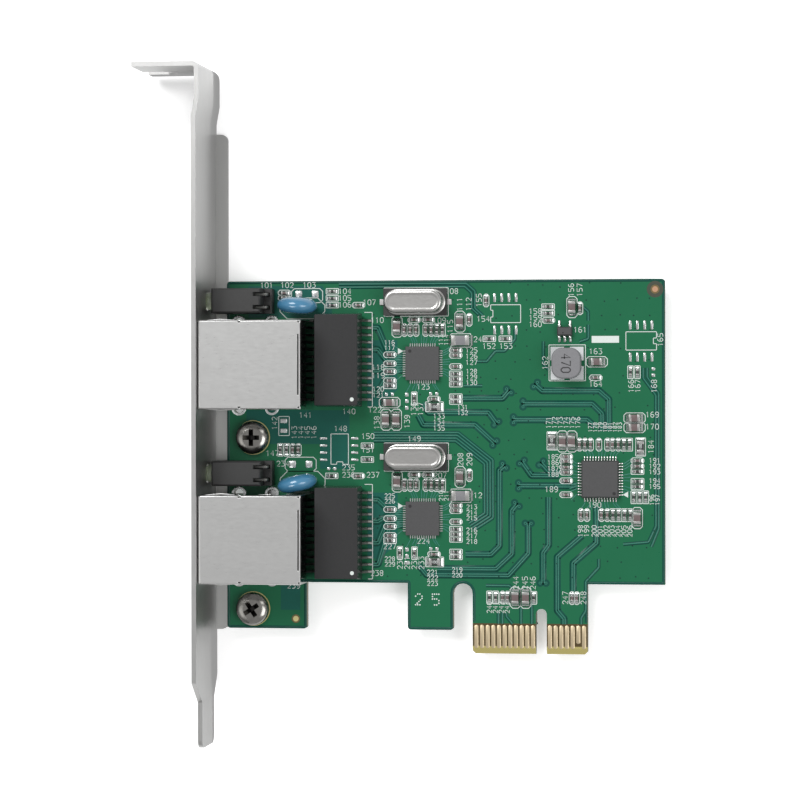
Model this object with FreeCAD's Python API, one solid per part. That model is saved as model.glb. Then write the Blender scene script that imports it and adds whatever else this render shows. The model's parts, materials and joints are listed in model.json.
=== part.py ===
import FreeCAD, Part
import math
import os

from FreeCAD import Vector

# Dual-port network interface card for a PCI Express x1 slot, with its full-height slot bracket.
#
# Frame, in millimetres: the origin is where the centre line of the key notch meets the lower edge of the
# edge connector, on the component side of the board. +X runs away from the bracket, +Y away from the edge
# connector, and +Z out of the component side, so the board lies in z = -BOARD_THICK .. 0.

# ---------------------------------------------------------------- printed circuit board
BOARD_THICK = 1.57
BOARD_LEFT = -56.2
BOARD_RIGHT = 21.7
BOARD_TOP = 65.87
BOARD_BOTTOM = 12.35
RETENTION_BOTTOM = 4.1       # lower edge of the retention lobe
BRACKET_LOBE_WIDTH = 14.4
RETENTION_LEFT = -23.7
RETENTION_RIGHT = -15.6
CONNECTOR_LEFT = -12.15
CONNECTOR_RIGHT = 8.15
KEY_WIDTH = 1.9
KEY_DEPTH = 7.95
BOARD_CORNER = 0.5
BEVEL_RUN = 0.95
BEVEL_DROP = 0.38

# ---------------------------------------------------------------- edge contacts
CONTACT_PITCH = 1.0
CONTACT_WIDTH = 0.7
CONTACT_TOP = 5.05
CONTACT_SHORT = 0.95         # how much later the presence contact starts
CONTACTS_BEFORE_KEY = 11
CONTACTS_AFTER_KEY = 7
KEY_TO_CONTACT = 1.5
PAD_THICK = 0.05             # plating and solder on the board

# ---------------------------------------------------------------- modular jacks
PORT_PITCH = 30.48
JACK_FROM_TOP = 14.97        # from the board's top edge to the upper jack's middle
JACK_LENGTH = 18.2
JACK_WIDTH = 15.5
JACK_HEIGHT = 13.3
SHIELD_THICK = 0.25
SHIELD_STANDOFF = 0.15
SHIELD_EDGE = 0.2            # folded edges along the shield's top
SHIELD_FIT = 0.05            # air between the shield and the housing in it
FOOT_CLEARANCE = 0.25        # from the transformer's feet to the jack over them
PLUG_WIDTH = 11.9
PLUG_HEIGHT = 6.8
PLUG_FLOOR = 3.3
PLUG_DEPTH = 13.0
LATCH_WIDTH = 6.4
LATCH_DEPTH = 1.7
SPRING_PITCH = 1.02
SPRING_WIDTH = 0.36
SPRING_THICK = 0.3
SPRING_COUNT = 8
SPRING_SLOT = 0.6
SPRING_ROW_GAP = 2.54
PIN_PROUD = 1.3              # how far pins and legs stand out of the solder side
LEG_WIDTH = 1.0
LEG_HOLE = 1.7
LEG_X = 10.78                # from the jack's face to its board legs
SPARE_HOLE = 1.8
SPARE_HOLE_X = 4.8
PEG_DIAMETER = 3.2
PEG_X = 9.4
PEG_SPACING = 11.43
PEG_SIDES = 12
ROUND_SIDES = 20             # flats that stand for a circle where a screw goes through
HOLE_FIT = 0.1               # diameter added to a hole for what passes through it
FINGER_REACH = 0.3
FINGER_LENGTH = 5.6
FINGER_HEIGHT = 3.6
FINGER_Z = 9.2               # middle of the grounding fingers
FINGER_GAP = 0.25            # sheared away round a finger
FACE_BEND = 0.6              # bend round the shield's face
RELIEF_X = 7.45              # from the jack's face to the notches in its upper edges
RELIEF_SIZE = 0.45

# ---------------------------------------------------------------- slot bracket
BRACKET_THICK = 0.82
BRACKET_WIDTH = 18.42
BRACKET_ABOVE_BOARD = 37.83  # with the next one, the bracket comes to its standard height of 120.02
TIP_BELOW_LOBE = 20.42
BRACKET_BELOW_BOARD = 4.12   # from the board's component side to the bracket's flange side
TONGUE_LENGTH = 8.1
BRACKET_TO_BOARD = 2.68
TAB_LENGTH = 11.15
TAB_RELIEF = 1.7
BEND_INSIDE = 0.4
JOGGLE_TOP = 6.4             # below the bracket's top
JOGGLE_RUN = 3.1
JOGGLE_STEP = 0.55
TONGUE_WIDTH = 10.19
TAPER_LENGTH = 3.7
TONGUE_STEP = 0.25
TONGUE_CORNER = 1.5
TOP_CORNER = 2.3
TAB_SLOT_WIDTH = 4.42
TAB_SLOT_DEPTH = 5.9
TAB_SLOT_EDGE = 9.0          # from the bracket's component-side edge to the slot
FLANGE_DEPTH = 2.18
FLANGE_BELOW_JOGGLE = 1.83
FLANGE_CORNER = 1.2
WINDOW_MARGIN = 0.8          # how much the jack's face overlaps the bracket on every side
WINDOW_CORNER = 0.4
LAMP_HOLE = 3.5
EAR_WIDTH = 7.2
EAR_FLAT = 1.6
EAR_RISE = 0.7
COLLAR_WALL = 0.8
COLLAR_HEIGHT = 0.9
SCREW_HOLE = 3.2

# ---------------------------------------------------------------- bracket screws
SCREW_X = 7.38               # from the bracket's inner face
SCREW_SHARE = 0.6555         # part of the room between jack and lamp holder that is above the screw
LOBE_BELOW_SCREW = 3.47
SCREW_DIAMETER = 2.96
SCREW_LENGTH = 3.7
SCREW_HEAD = 5.9
SCREW_HEAD_HEIGHT = 2.1
RECESS_WIDTH = 0.8
RECESS_SPAN = 3.1
RECESS_DEPTH = 1.5
RECESS_ANGLES = (0.0, 33.0)

# ---------------------------------------------------------------- status lamps
LAMP_CLEAR = 3.6             # from the jack's side to the lamp's axis
LAMP_DIAMETER = 3.0
LAMP_Z = 4.0
LAMP_PROUD = 0.3             # dome beyond the bracket's outer face
LAMP_LENGTH = 5.9
LAMP_FIT = 0.05
HOLDER_GAP = 1.08            # from the bracket's inner face to the holder
HOLDER_LENGTH = 8.8
HOLDER_WIDTH = 4.4
HOLDER_HEIGHT = 6.5
HOLDER_STEP_LENGTH = 1.4
HOLDER_STEP_HEIGHT = 2.6
LEAD_SPACING = 2.28
LEAD_WIDTH = 0.45
LEAD_SLOT = 0.7

# ---------------------------------------------------------------- network transformers
TRANSFORMER_WIDTH = 8.15
TRANSFORMER_LENGTH = 16.5
TRANSFORMER_TOP = 5.8
TRANSFORMER_GAP = 0.95       # from the jack's back to the transformer
TRANSFORMER_ABOVE_JACK = 0.88
TRANSFORMER_PIN_COUNT = 12
TRANSFORMER_PITCH = 1.27
TRANSFORMER_REACH = 1.5
TRANSFORMER_LEAD_Z = 1.7     # height where the leads leave the body
DRAFT = 0.25

# ---------------------------------------------------------------- disc capacitors
DISC_DIAMETER = 7.1
DISC_THICK = 2.9
DISC_Z = 4.35
DISC_GAP = 1.3               # from the lamp holder's back to the disc
DISC_LEAD_SPACING = 5.0
DISC_LEAD = 0.6
DISC_CLEAR = (2.75, 1.88)    # from the jack's side to the disc's middle
DISC_YAW = (-3.0, 12.0)

# ---------------------------------------------------------------- controllers and crystals
PHY_FROM_RIGHT = 42.7
PHY_FROM_TOP = 14.7
PHY_PITCH = 27.4
CONTROLLER_BODY = 5.95
CONTROLLER_HEIGHT = 0.85
BRIDGE_LEAD_COUNT = 12
CRYSTAL_X = -1.25            # from the controller
CRYSTAL_Y = 10.86
CRYSTAL_BASE = (11.3, 4.8, 0.6)
CRYSTAL_RIM = (10.9, 4.5, 0.4)
CRYSTAL_CAN = (10.3, 3.95)
CRYSTAL_TOP = 4.3
END_SIDES = 8                # flats in each half-round end
CRYSTAL_EDGE = 0.4
TERMINAL_THICK = 0.2
TERMINAL_WIDTH = 1.0
TERMINAL_REACH = 0.75

# ---------------------------------------------------------------- bridge chip
BRIDGE_FROM_RIGHT = 11.3
BRIDGE_FROM_TOP = 35.07
BRIDGE_BODY = 6.6
BRIDGE_SPAN = 7.95
BRIDGE_TOP = 1.3
BRIDGE_PITCH = 0.5
BRIDGE_LEAD = 0.22
LEAD_THICK = 0.13
STANDOFF = 0.1

# ---------------------------------------------------------------- regulator and inductor
REGULATOR_FROM_RIGHT = 17.5
REGULATOR_FROM_TOP = 9.15
REGULATOR_BODY = (2.7, 1.6, 1.15)
REGULATOR_SPAN = 3.8
REGULATOR_PITCH = 0.95
REGULATOR_LEAD = 0.4
INDUCTOR_ASIDE = 0.4         # from the regulator's middle
INDUCTOR_BELOW = 5.6
INDUCTOR_BASE = 5.8
INDUCTOR_BASE_THICK = 0.5
INDUCTOR_CORE = (5.1, 5.4)
INDUCTOR_CORE_ROUND = 1.9
INDUCTOR_EDGE = 0.2
INDUCTOR_TOP = 3.0
INDUCTOR_NOTCH = 1.0

# ---------------------------------------------------------------- chip parts: length, width, height
SMALL_CAPACITOR = (1.0, 0.5, 0.5)
SMALL_RESISTOR = (1.0, 0.5, 0.35)
LARGE_CAPACITOR = (2.0, 1.25, 0.95)
MARKED_RESISTOR = (2.0, 1.25, 0.55)
FERRITE_BEAD = (3.2, 1.75, 1.1)

# ---------------------------------------------------------------- places worked out from the sizes above
SOLDER_SIDE = -BOARD_THICK
PIN_TIP = SOLDER_SIDE - PIN_PROUD
INNER_FACE = BOARD_LEFT - BRACKET_TO_BOARD
OUTER_FACE = INNER_FACE - BRACKET_THICK
BRACKET_TOP = BOARD_TOP + BRACKET_ABOVE_BOARD
BRACKET_FAR = -BRACKET_BELOW_BOARD
BRACKET_NEAR = BRACKET_FAR + BRACKET_WIDTH
FLANGE_TOP = BRACKET_TOP - JOGGLE_TOP - JOGGLE_RUN - FLANGE_BELOW_JOGGLE
JACK_BACK = INNER_FACE + JACK_LENGTH
JACK_YS = (BOARD_TOP - JACK_FROM_TOP, BOARD_TOP - JACK_FROM_TOP - PORT_PITCH)
PHY_X = BOARD_RIGHT - PHY_FROM_RIGHT
PHY_YS = (BOARD_TOP - PHY_FROM_TOP, BOARD_TOP - PHY_FROM_TOP - PHY_PITCH)
BRIDGE_X = BOARD_RIGHT - BRIDGE_FROM_RIGHT
BRIDGE_Y = BOARD_TOP - BRIDGE_FROM_TOP
REGULATOR_X = BOARD_RIGHT - REGULATOR_FROM_RIGHT
REGULATOR_Y = BOARD_TOP - REGULATOR_FROM_TOP
INDUCTOR_X = REGULATOR_X + INDUCTOR_ASIDE
INDUCTOR_Y = REGULATOR_Y - INDUCTOR_BELOW
LAMP_ABOVE_JACK = JACK_WIDTH / 2 + LAMP_CLEAR
LAMP_ROOM = PORT_PITCH - JACK_WIDTH - LAMP_CLEAR - HOLDER_WIDTH / 2
SCREW_BELOW_JACK = JACK_WIDTH / 2 + SCREW_HEAD / 2 + SCREW_SHARE * (LAMP_ROOM - SCREW_HEAD)
SCREW_YS = tuple(y - SCREW_BELOW_JACK for y in JACK_YS)
LOBE_BOTTOM = SCREW_YS[1] - LOBE_BELOW_SCREW
BRACKET_TIP = LOBE_BOTTOM - TIP_BELOW_LOBE
DISC_X = INNER_FACE + HOLDER_GAP + HOLDER_LENGTH + HOLDER_STEP_LENGTH + DISC_GAP + DISC_DIAMETER / 2
DISC_YS = tuple(y + JACK_WIDTH / 2 + clear for y, clear in zip(JACK_YS, DISC_CLEAR))
SIDES = ("upper", "lower")
UP = Vector(0, 0, 1)
EAST = Vector(1, 0, 0)
NORTH = Vector(0, 1, 0)


# ---------------------------------------------------------------- shape helpers
def block(x0, x1, y0, y1, z0, z1):
    """A box between two corners."""
    return Part.makeBox(x1 - x0, y1 - y0, z1 - z0, Vector(x0, y0, z0))


def plate(x, y, length, width, z0, z1):
    """A box centred on (x, y)."""
    return block(x - length / 2, x + length / 2, y - width / 2, y + width / 2, z0, z1)


def rod(x, y, diameter, z0, z1):
    """An upright cylinder."""
    return Part.makeCylinder(diameter / 2, z1 - z0, Vector(x, y, z0), UP)


def many_sided(x, y, diameter, z0, z1, sides=8):
    """An upright prism of a few sides: a small hole, lead or peg that repeats."""
    radius = diameter / 2
    turns = [2 * math.pi * (index + 0.5) / sides for index in range(sides)]
    points = [Vector(x + radius * math.cos(t), y + radius * math.sin(t), z0) for t in turns]
    return prism(points, Vector(0, 0, z1 - z0))


def prism(points, direction):
    """A closed outline swept along a direction."""
    wire = Part.makePolygon(points + points[:1])
    return Part.Face(wire).extrude(direction)


def picked(shape, wanted):
    """The edges whose middle point and direction pass the test."""
    return [e for e in shape.Edges if wanted(e.CenterOfMass, e.tangentAt(e.FirstParameter))]


def rounded(shape, radius, wanted):
    """Rounds the edges that pass the test."""
    return shape.makeFillet(radius, picked(shape, wanted))


def chamfered(shape, size, wanted):
    """Chamfers the edges that pass the test."""
    return shape.makeChamfer(size, picked(shape, wanted))


def stadium(x, y, length, width, z0, z1):
    """An upright prism with two straight sides and two half-round ends of a few flats."""
    radius = width / 2
    end = length / 2 - radius
    points = []
    for side in (1, -1):
        for index in range(END_SIDES + 1):
            turn = math.pi * (index / END_SIDES - 0.5)
            reach = end + radius * math.cos(turn)
            points.append(Vector(x + side * reach, y + side * radius * math.sin(turn), z0))
    return prism(points, Vector(0, 0, z1 - z0))


def turned(shape, x, y, angle):
    """A copy turned about the upright axis through (x, y)."""
    copy = shape.copy()
    copy.rotate(Vector(x, y, 0), UP, angle)
    return copy


def cut_all(shape, tools):
    """One cut with every tool."""
    return shape.cut(Part.makeCompound(tools)) if tools else shape


def save(name, shapes):
    """One STEP file for each node."""
    solids = [solid for shape in shapes for solid in shape.Solids]
    whole = solids[0] if len(solids) == 1 else Part.makeCompound(solids)
    whole.exportStep("parts/" + name + ".step")


# ---------------------------------------------------------------- printed circuit board
def contact_xs():
    """The X place of every edge contact, from the bracket's side on."""
    before = [-KEY_TO_CONTACT - CONTACT_PITCH * i for i in reversed(range(CONTACTS_BEFORE_KEY))]
    after = [KEY_TO_CONTACT + CONTACT_PITCH * i for i in range(CONTACTS_AFTER_KEY)]
    return before + after


def board_outline():
    """The board's outline with its lobes, before its two round-ended notches are cut."""
    lobe_right = BOARD_LEFT + BRACKET_LOBE_WIDTH
    corners = [
        (BOARD_LEFT, BOARD_TOP),
        (BOARD_LEFT, LOBE_BOTTOM),
        (lobe_right, LOBE_BOTTOM),
        (lobe_right, BOARD_BOTTOM),
        (RETENTION_LEFT, BOARD_BOTTOM),
        (RETENTION_LEFT, RETENTION_BOTTOM),
        (CONNECTOR_LEFT, RETENTION_BOTTOM),
        (CONNECTOR_LEFT, 0),
        (CONNECTOR_RIGHT, 0),
        (CONNECTOR_RIGHT, BOARD_BOTTOM),
        (BOARD_RIGHT, BOARD_BOTTOM),
        (BOARD_RIGHT, BOARD_TOP),
    ]
    return [Vector(x, y, SOLDER_SIDE) for x, y in corners]


def round_notch(x0, x1, y0, top):
    """A notch that is open below and half round at its top."""
    middle = (x0 + x1) / 2
    width = x1 - x0
    straight = block(x0, x1, y0, top - width / 2, SOLDER_SIDE - 1, 1)
    return straight.fuse(rod(middle, top - width / 2, width, SOLDER_SIDE - 1, 1))


def edge_bevels():
    """The wedges cut off both faces of the edge connector."""
    wedges = []
    for face, inward in ((0, -1), (SOLDER_SIDE, 1)):
        outline = [
            Vector(CONNECTOR_LEFT - 1, 0, face),
            Vector(CONNECTOR_LEFT - 1, BEVEL_RUN, face),
            Vector(CONNECTOR_LEFT - 1, 0, face + inward * BEVEL_DROP),
        ]
        wedges.append(prism(outline, Vector(CONNECTOR_RIGHT - CONNECTOR_LEFT + 2, 0, 0)))
    return wedges


def pin_hole(length, width):
    """The hole for a rectangular pin: its diagonal and the fit, over the flats of the drilling."""
    return (math.hypot(length, width) + HOLE_FIT) / math.cos(math.pi / 8)


def board_holes():
    """Every drilled hole."""
    low, high = SOLDER_SIDE - 1, 1
    holes = []
    for index, jack_y in enumerate(JACK_YS):
        holes.append(many_sided(INNER_FACE + SCREW_X, SCREW_YS[index], SCREW_HOLE, low, high, ROUND_SIDES))
        for side in (-1, 1):
            wall = jack_y + side * (JACK_WIDTH - SHIELD_THICK) / 2
            holes.append(many_sided(INNER_FACE + LEG_X, wall, LEG_HOLE, low, high))
            holes.append(many_sided(INNER_FACE + SPARE_HOLE_X, wall, SPARE_HOLE, low, high))
            peg_y = jack_y + side * PEG_SPACING / 2
            peg_hole = PEG_DIAMETER + HOLE_FIT
            holes.append(many_sided(INNER_FACE + PEG_X, peg_y, peg_hole, low, high, PEG_SIDES))
            lead_y = jack_y + LAMP_ABOVE_JACK + side * LEAD_SPACING / 2
            holes.append(many_sided(lamp_lead_x(), lead_y, pin_hole(LEAD_WIDTH, LEAD_WIDTH), low, high))
            foot_x, foot_y = disc_lead_place(index, side)
            holes.append(many_sided(foot_x, foot_y, DISC_LEAD + HOLE_FIT, low, high))
        for pin_x, pin_y in spring_places(jack_y):
            spring_hole = pin_hole(SPRING_THICK, SPRING_WIDTH)
            holes.append(many_sided(pin_x, pin_y, spring_hole, low, high))
    return holes


def make_board():
    """The laminate with its lobes, notches, bevelled edge and holes."""
    board = prism(board_outline(), Vector(0, 0, BOARD_THICK))
    retention = round_notch(RETENTION_RIGHT, CONNECTOR_LEFT, -1, BOARD_BOTTOM)
    board = board.cut(retention)
    board = chamfered(
        board,
        BOARD_CORNER,
        lambda p, t: abs(t.z) > 0.9 and (p.y < BOARD_BOTTOM - 0.5 or p.y > BOARD_TOP - 0.1),
    )
    key = round_notch(-KEY_WIDTH / 2, KEY_WIDTH / 2, -1, KEY_DEPTH)
    return [cut_all(board, [key] + edge_bevels() + board_holes())]


def make_edge_contacts():
    """Gold contacts on both faces. One on each face starts late: the presence contacts."""
    xs = contact_xs()
    contacts = []
    for x in xs:
        late = CONTACT_SHORT if x == xs[-2] else 0
        contacts.append(contact(x, BEVEL_RUN + late, 0))
        late = CONTACT_SHORT if x == xs[0] else 0
        contacts.append(contact(x, BEVEL_RUN + late, SOLDER_SIDE - PAD_THICK))
    return contacts


def contact(x, start, z):
    """One edge contact."""
    half = CONTACT_WIDTH / 2
    return block(x - half, x + half, start, CONTACT_TOP, z, z + PAD_THICK)


# ---------------------------------------------------------------- slot bracket
def sheet_profile():
    """The bracket seen along Z: tongue, plate, joggle and bent tab, as one closed outline."""
    upper_outer = OUTER_FACE + JOGGLE_STEP
    upper_inner = INNER_FACE + JOGGLE_STEP
    joggle_high = BRACKET_TOP - JOGGLE_TOP
    taper_top = BRACKET_TIP + TONGUE_LENGTH + TAPER_LENGTH
    outside = BEND_INSIDE + BRACKET_THICK
    bend_x = upper_outer - BEND_INSIDE
    bend_y = BRACKET_TOP - outside
    tab_end = upper_outer - TAB_LENGTH
    diagonal = math.sqrt(0.5)
    low = BRACKET_FAR
    going_up = [
        Vector(OUTER_FACE + TONGUE_STEP, BRACKET_TIP, low),
        Vector(OUTER_FACE + TONGUE_STEP, BRACKET_TIP + TONGUE_LENGTH, low),
        Vector(OUTER_FACE, taper_top, low),
        Vector(OUTER_FACE, joggle_high - JOGGLE_RUN, low),
        Vector(upper_outer, joggle_high, low),
        Vector(upper_outer, bend_y, low),
    ]
    inside_bend = Part.Arc(
        going_up[-1],
        Vector(bend_x + BEND_INSIDE * diagonal, bend_y + BEND_INSIDE * diagonal, low),
        Vector(bend_x, bend_y + BEND_INSIDE, low),
    )
    tab = [
        Vector(bend_x, bend_y + BEND_INSIDE, low),
        Vector(tab_end, bend_y + BEND_INSIDE, low),
        Vector(tab_end, BRACKET_TOP, low),
        Vector(bend_x, BRACKET_TOP, low),
    ]
    outside_bend = Part.Arc(
        tab[-1],
        Vector(bend_x + outside * diagonal, bend_y + outside * diagonal, low),
        Vector(upper_inner, bend_y, low),
    )
    going_down = [
        Vector(upper_inner, bend_y, low),
        Vector(upper_inner, joggle_high, low),
        Vector(INNER_FACE, joggle_high - JOGGLE_RUN, low),
        Vector(INNER_FACE, taper_top, low),
        Vector(INNER_FACE + TONGUE_STEP, BRACKET_TIP + TONGUE_LENGTH, low),
        Vector(INNER_FACE + TONGUE_STEP, BRACKET_TIP, low),
        going_up[0],
    ]
    edges = lines(going_up) + [inside_bend.toShape()] + lines(tab)
    edges += [outside_bend.toShape()] + lines(going_down)
    return Part.Face(Part.Wire(edges))


def lines(points):
    """Straight edges through the points in turn."""
    return [Part.LineSegment(a, b).toShape() for a, b in zip(points, points[1:])]


def bracket_outline_cuts():
    """What is sheared off the plain strip: both sides of the tongue, its corners and the tab's relief."""
    margin = (BRACKET_WIDTH - TONGUE_WIDTH) / 2
    reach = BRACKET_THICK + TONGUE_STEP + 2
    x0 = OUTER_FACE - 1
    tools = []
    for edge, inward in ((BRACKET_NEAR, -1), (BRACKET_FAR, 1)):
        straight = edge + inward * margin
        away = edge - inward
        taper_low = BRACKET_TIP + TONGUE_LENGTH
        taper_high = taper_low + TAPER_LENGTH
        outline = [
            Vector(x0, BRACKET_TIP - 1, away),
            Vector(x0, BRACKET_TIP - 1, straight + inward * TONGUE_CORNER),
            Vector(x0, BRACKET_TIP, straight + inward * TONGUE_CORNER),
            Vector(x0, BRACKET_TIP + TONGUE_CORNER, straight),
            Vector(x0, taper_low, straight),
            Vector(x0, taper_high, edge),
            Vector(x0, taper_high, away),
        ]
        wire = lines(outline[:3]) + [corner_arc(x0, straight, inward)] + lines(outline[3:] + outline[:1])
        tools.append(Part.Face(Part.Wire(wire)).extrude(Vector(reach, 0, 0)))
    return tools


def corner_arc(x, straight, inward):
    """The rounded corner at the tip of the tongue."""
    middle_y = BRACKET_TIP + TONGUE_CORNER
    middle_z = straight + inward * TONGUE_CORNER
    diagonal = TONGUE_CORNER * math.sqrt(0.5)
    return Part.Arc(
        Vector(x, BRACKET_TIP, middle_z),
        Vector(x, middle_y - diagonal, middle_z - inward * diagonal),
        Vector(x, middle_y, straight),
    ).toShape()


def tab_cuts():
    """The open screw slot in the tab, and the strip relieved beside it with its rounded corner."""
    upper_outer = OUTER_FACE + JOGGLE_STEP
    tab_end = upper_outer - TAB_LENGTH
    low, high = BRACKET_TOP - BRACKET_THICK - 1, BRACKET_TOP + 1
    slot_near = BRACKET_NEAR - TAB_SLOT_EDGE
    slot_middle = slot_near - TAB_SLOT_WIDTH / 2
    centre_x = tab_end + TAB_SLOT_DEPTH - TAB_SLOT_WIDTH / 2
    straight = block(tab_end - 1, centre_x, low, high, slot_near - TAB_SLOT_WIDTH, slot_near)
    end = Part.makeCylinder(TAB_SLOT_WIDTH / 2, high - low, Vector(centre_x, low, slot_middle), NORTH)
    relief = block(tab_end - 1, OUTER_FACE - 1, low, high, BRACKET_FAR - 1, BRACKET_FAR + TAB_RELIEF)
    square = block(
        OUTER_FACE - 1, INNER_FACE + 3, BRACKET_TOP - TOP_CORNER, high, BRACKET_FAR - 1, BRACKET_FAR + TOP_CORNER
    )
    keep = Part.makeCylinder(
        TOP_CORNER,
        20,
        Vector(OUTER_FACE - 5, BRACKET_TOP - TOP_CORNER, BRACKET_FAR + TOP_CORNER),
        EAST,
    )
    return [straight.fuse(end), relief, square.cut(keep)]


def make_ear(y):
    """One mounting ear: out of the flange, up to the board's underside, with a tapped collar."""
    start = INNER_FACE
    step = INNER_FACE + FLANGE_DEPTH + EAR_FLAT
    screw_x = INNER_FACE + SCREW_X
    end = screw_x + EAR_WIDTH / 2
    y0 = y - EAR_WIDTH / 2
    flange_low, flange_high = BRACKET_FAR, BRACKET_FAR + BRACKET_THICK
    seat_low, seat_high = SOLDER_SIDE - BRACKET_THICK, SOLDER_SIDE
    outline = [
        Vector(start, y0, flange_low),
        Vector(step, y0, flange_low),
        Vector(step + EAR_RISE, y0, seat_low),
        Vector(end, y0, seat_low),
        Vector(end, y0, seat_high),
        Vector(step + EAR_RISE - BRACKET_THICK / 3, y0, seat_high),
        Vector(step - BRACKET_THICK / 3, y0, flange_high),
        Vector(start, y0, flange_high),
    ]
    ear = prism(outline, Vector(0, EAR_WIDTH, 0))
    ear = rounded(ear, EAR_WIDTH / 3, lambda p, t: abs(t.z) > 0.9 and p.x > end - 0.1)
    foot = seat_low - COLLAR_HEIGHT
    collar = many_sided(screw_x, y, SCREW_HOLE + 2 * COLLAR_WALL, foot, seat_high, ROUND_SIDES)
    bore = (SCREW_DIAMETER + HOLE_FIT / 2) / math.cos(math.pi / ROUND_SIDES)
    tapped = many_sided(screw_x, y, bore, foot - 1, seat_high + 1, ROUND_SIDES)
    return ear.fuse(collar).cut(tapped)


def make_bracket():
    """The folded sheet: plate, tab, tongue, flange and ears, with its windows."""
    strip = sheet_profile().extrude(Vector(0, 0, BRACKET_WIDTH))
    strip = cut_all(strip, bracket_outline_cuts() + tab_cuts())
    flange_low = LOBE_BOTTOM - BOARD_CORNER
    flange = block(
        INNER_FACE - BRACKET_THICK / 2,
        INNER_FACE + FLANGE_DEPTH,
        flange_low,
        FLANGE_TOP,
        BRACKET_FAR,
        BRACKET_FAR + BRACKET_THICK,
    )
    flange = rounded(flange, FLANGE_CORNER, lambda p, t: abs(t.z) > 0.9 and p.x > INNER_FACE + 1)
    bracket = strip.fuse(flange)
    for screw_y in SCREW_YS:
        bracket = bracket.fuse(make_ear(screw_y))
    bracket = bracket.removeSplitter()
    bracket = rounded(
        bracket,
        BRACKET_THICK - 0.1,
        lambda p, t: abs(t.y) > 0.9 and p.x < OUTER_FACE + 0.01 and p.z < BRACKET_FAR + 0.01,
    )
    openings = []
    for jack_y in JACK_YS:
        window = plate(
            0,
            jack_y,
            2,
            JACK_WIDTH - 2 * WINDOW_MARGIN,
            WINDOW_MARGIN,
            JACK_HEIGHT - WINDOW_MARGIN,
        )
        window = chamfered(window, WINDOW_CORNER, lambda p, t: abs(t.x) > 0.9)
        window.translate(Vector(INNER_FACE, 0, 0))
        openings.append(window)
        lamp_y = jack_y + LAMP_ABOVE_JACK
        hole = many_sided(0, 0, LAMP_HOLE / math.cos(math.pi / ROUND_SIDES), -2, 2, ROUND_SIDES)
        hole.rotate(Vector(0, 0, 0), NORTH, 90)
        hole.translate(Vector(INNER_FACE, lamp_y, LAMP_Z))
        openings.append(hole)
    return [cut_all(bracket, openings)]


def make_screw(y, angle):
    """A pan-head screw with a cross recess, its head on the board."""
    x = INNER_FACE + SCREW_X
    radius = SCREW_HEAD / 2
    profile = [
        Vector(x, y, 0),
        Vector(x + radius, y, 0),
        Vector(x + radius, y, SCREW_HEAD_HEIGHT * 0.5),
        Vector(x + radius * 0.7, y, SCREW_HEAD_HEIGHT),
        Vector(x, y, SCREW_HEAD_HEIGHT),
    ]
    head = Part.Face(Part.makePolygon(profile + profile[:1])).revolve(Vector(x, y, 0), UP, 360)
    screw = head.fuse(many_sided(x, y, SCREW_DIAMETER, -SCREW_LENGTH, SCREW_HEAD_HEIGHT / 4, ROUND_SIDES))
    floor = SCREW_HEAD_HEIGHT - RECESS_DEPTH
    wing = prism(
        [
            Vector(x - RECESS_SPAN / 2, y - RECESS_WIDTH / 2, SCREW_HEAD_HEIGHT + 0.1),
            Vector(x + RECESS_SPAN / 2, y - RECESS_WIDTH / 2, SCREW_HEAD_HEIGHT + 0.1),
            Vector(x + RECESS_WIDTH / 2, y - RECESS_WIDTH / 2, floor),
            Vector(x - RECESS_WIDTH / 2, y - RECESS_WIDTH / 2, floor),
        ],
        Vector(0, RECESS_WIDTH, 0),
    )
    recess = wing.fuse(turned(wing, x, y, 90))
    return turned(screw.cut(recess), x, y, angle)


# ---------------------------------------------------------------- modular jacks
def spring_places(jack_y):
    """Where the eight contact springs go through the board, in two staggered rows."""
    places = []
    for index in range(SPRING_COUNT):
        y = jack_y + (index - (SPRING_COUNT - 1) / 2) * SPRING_PITCH
        x = JACK_BACK - SHIELD_THICK - 1.1 - SPRING_ROW_GAP * (index % 2)
        places.append((x, y))
    return places


def foot_relief(jack_y):
    """The step under the jack's back that the transformer's feet reach into."""
    reach = TRANSFORMER_REACH - TRANSFORMER_GAP + FOOT_CLEARANCE
    height = 2 * LEAD_THICK + FOOT_CLEARANCE
    return block(JACK_BACK - reach, JACK_BACK + 1, jack_y - JACK_WIDTH, jack_y + JACK_WIDTH, -1, height)


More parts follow.
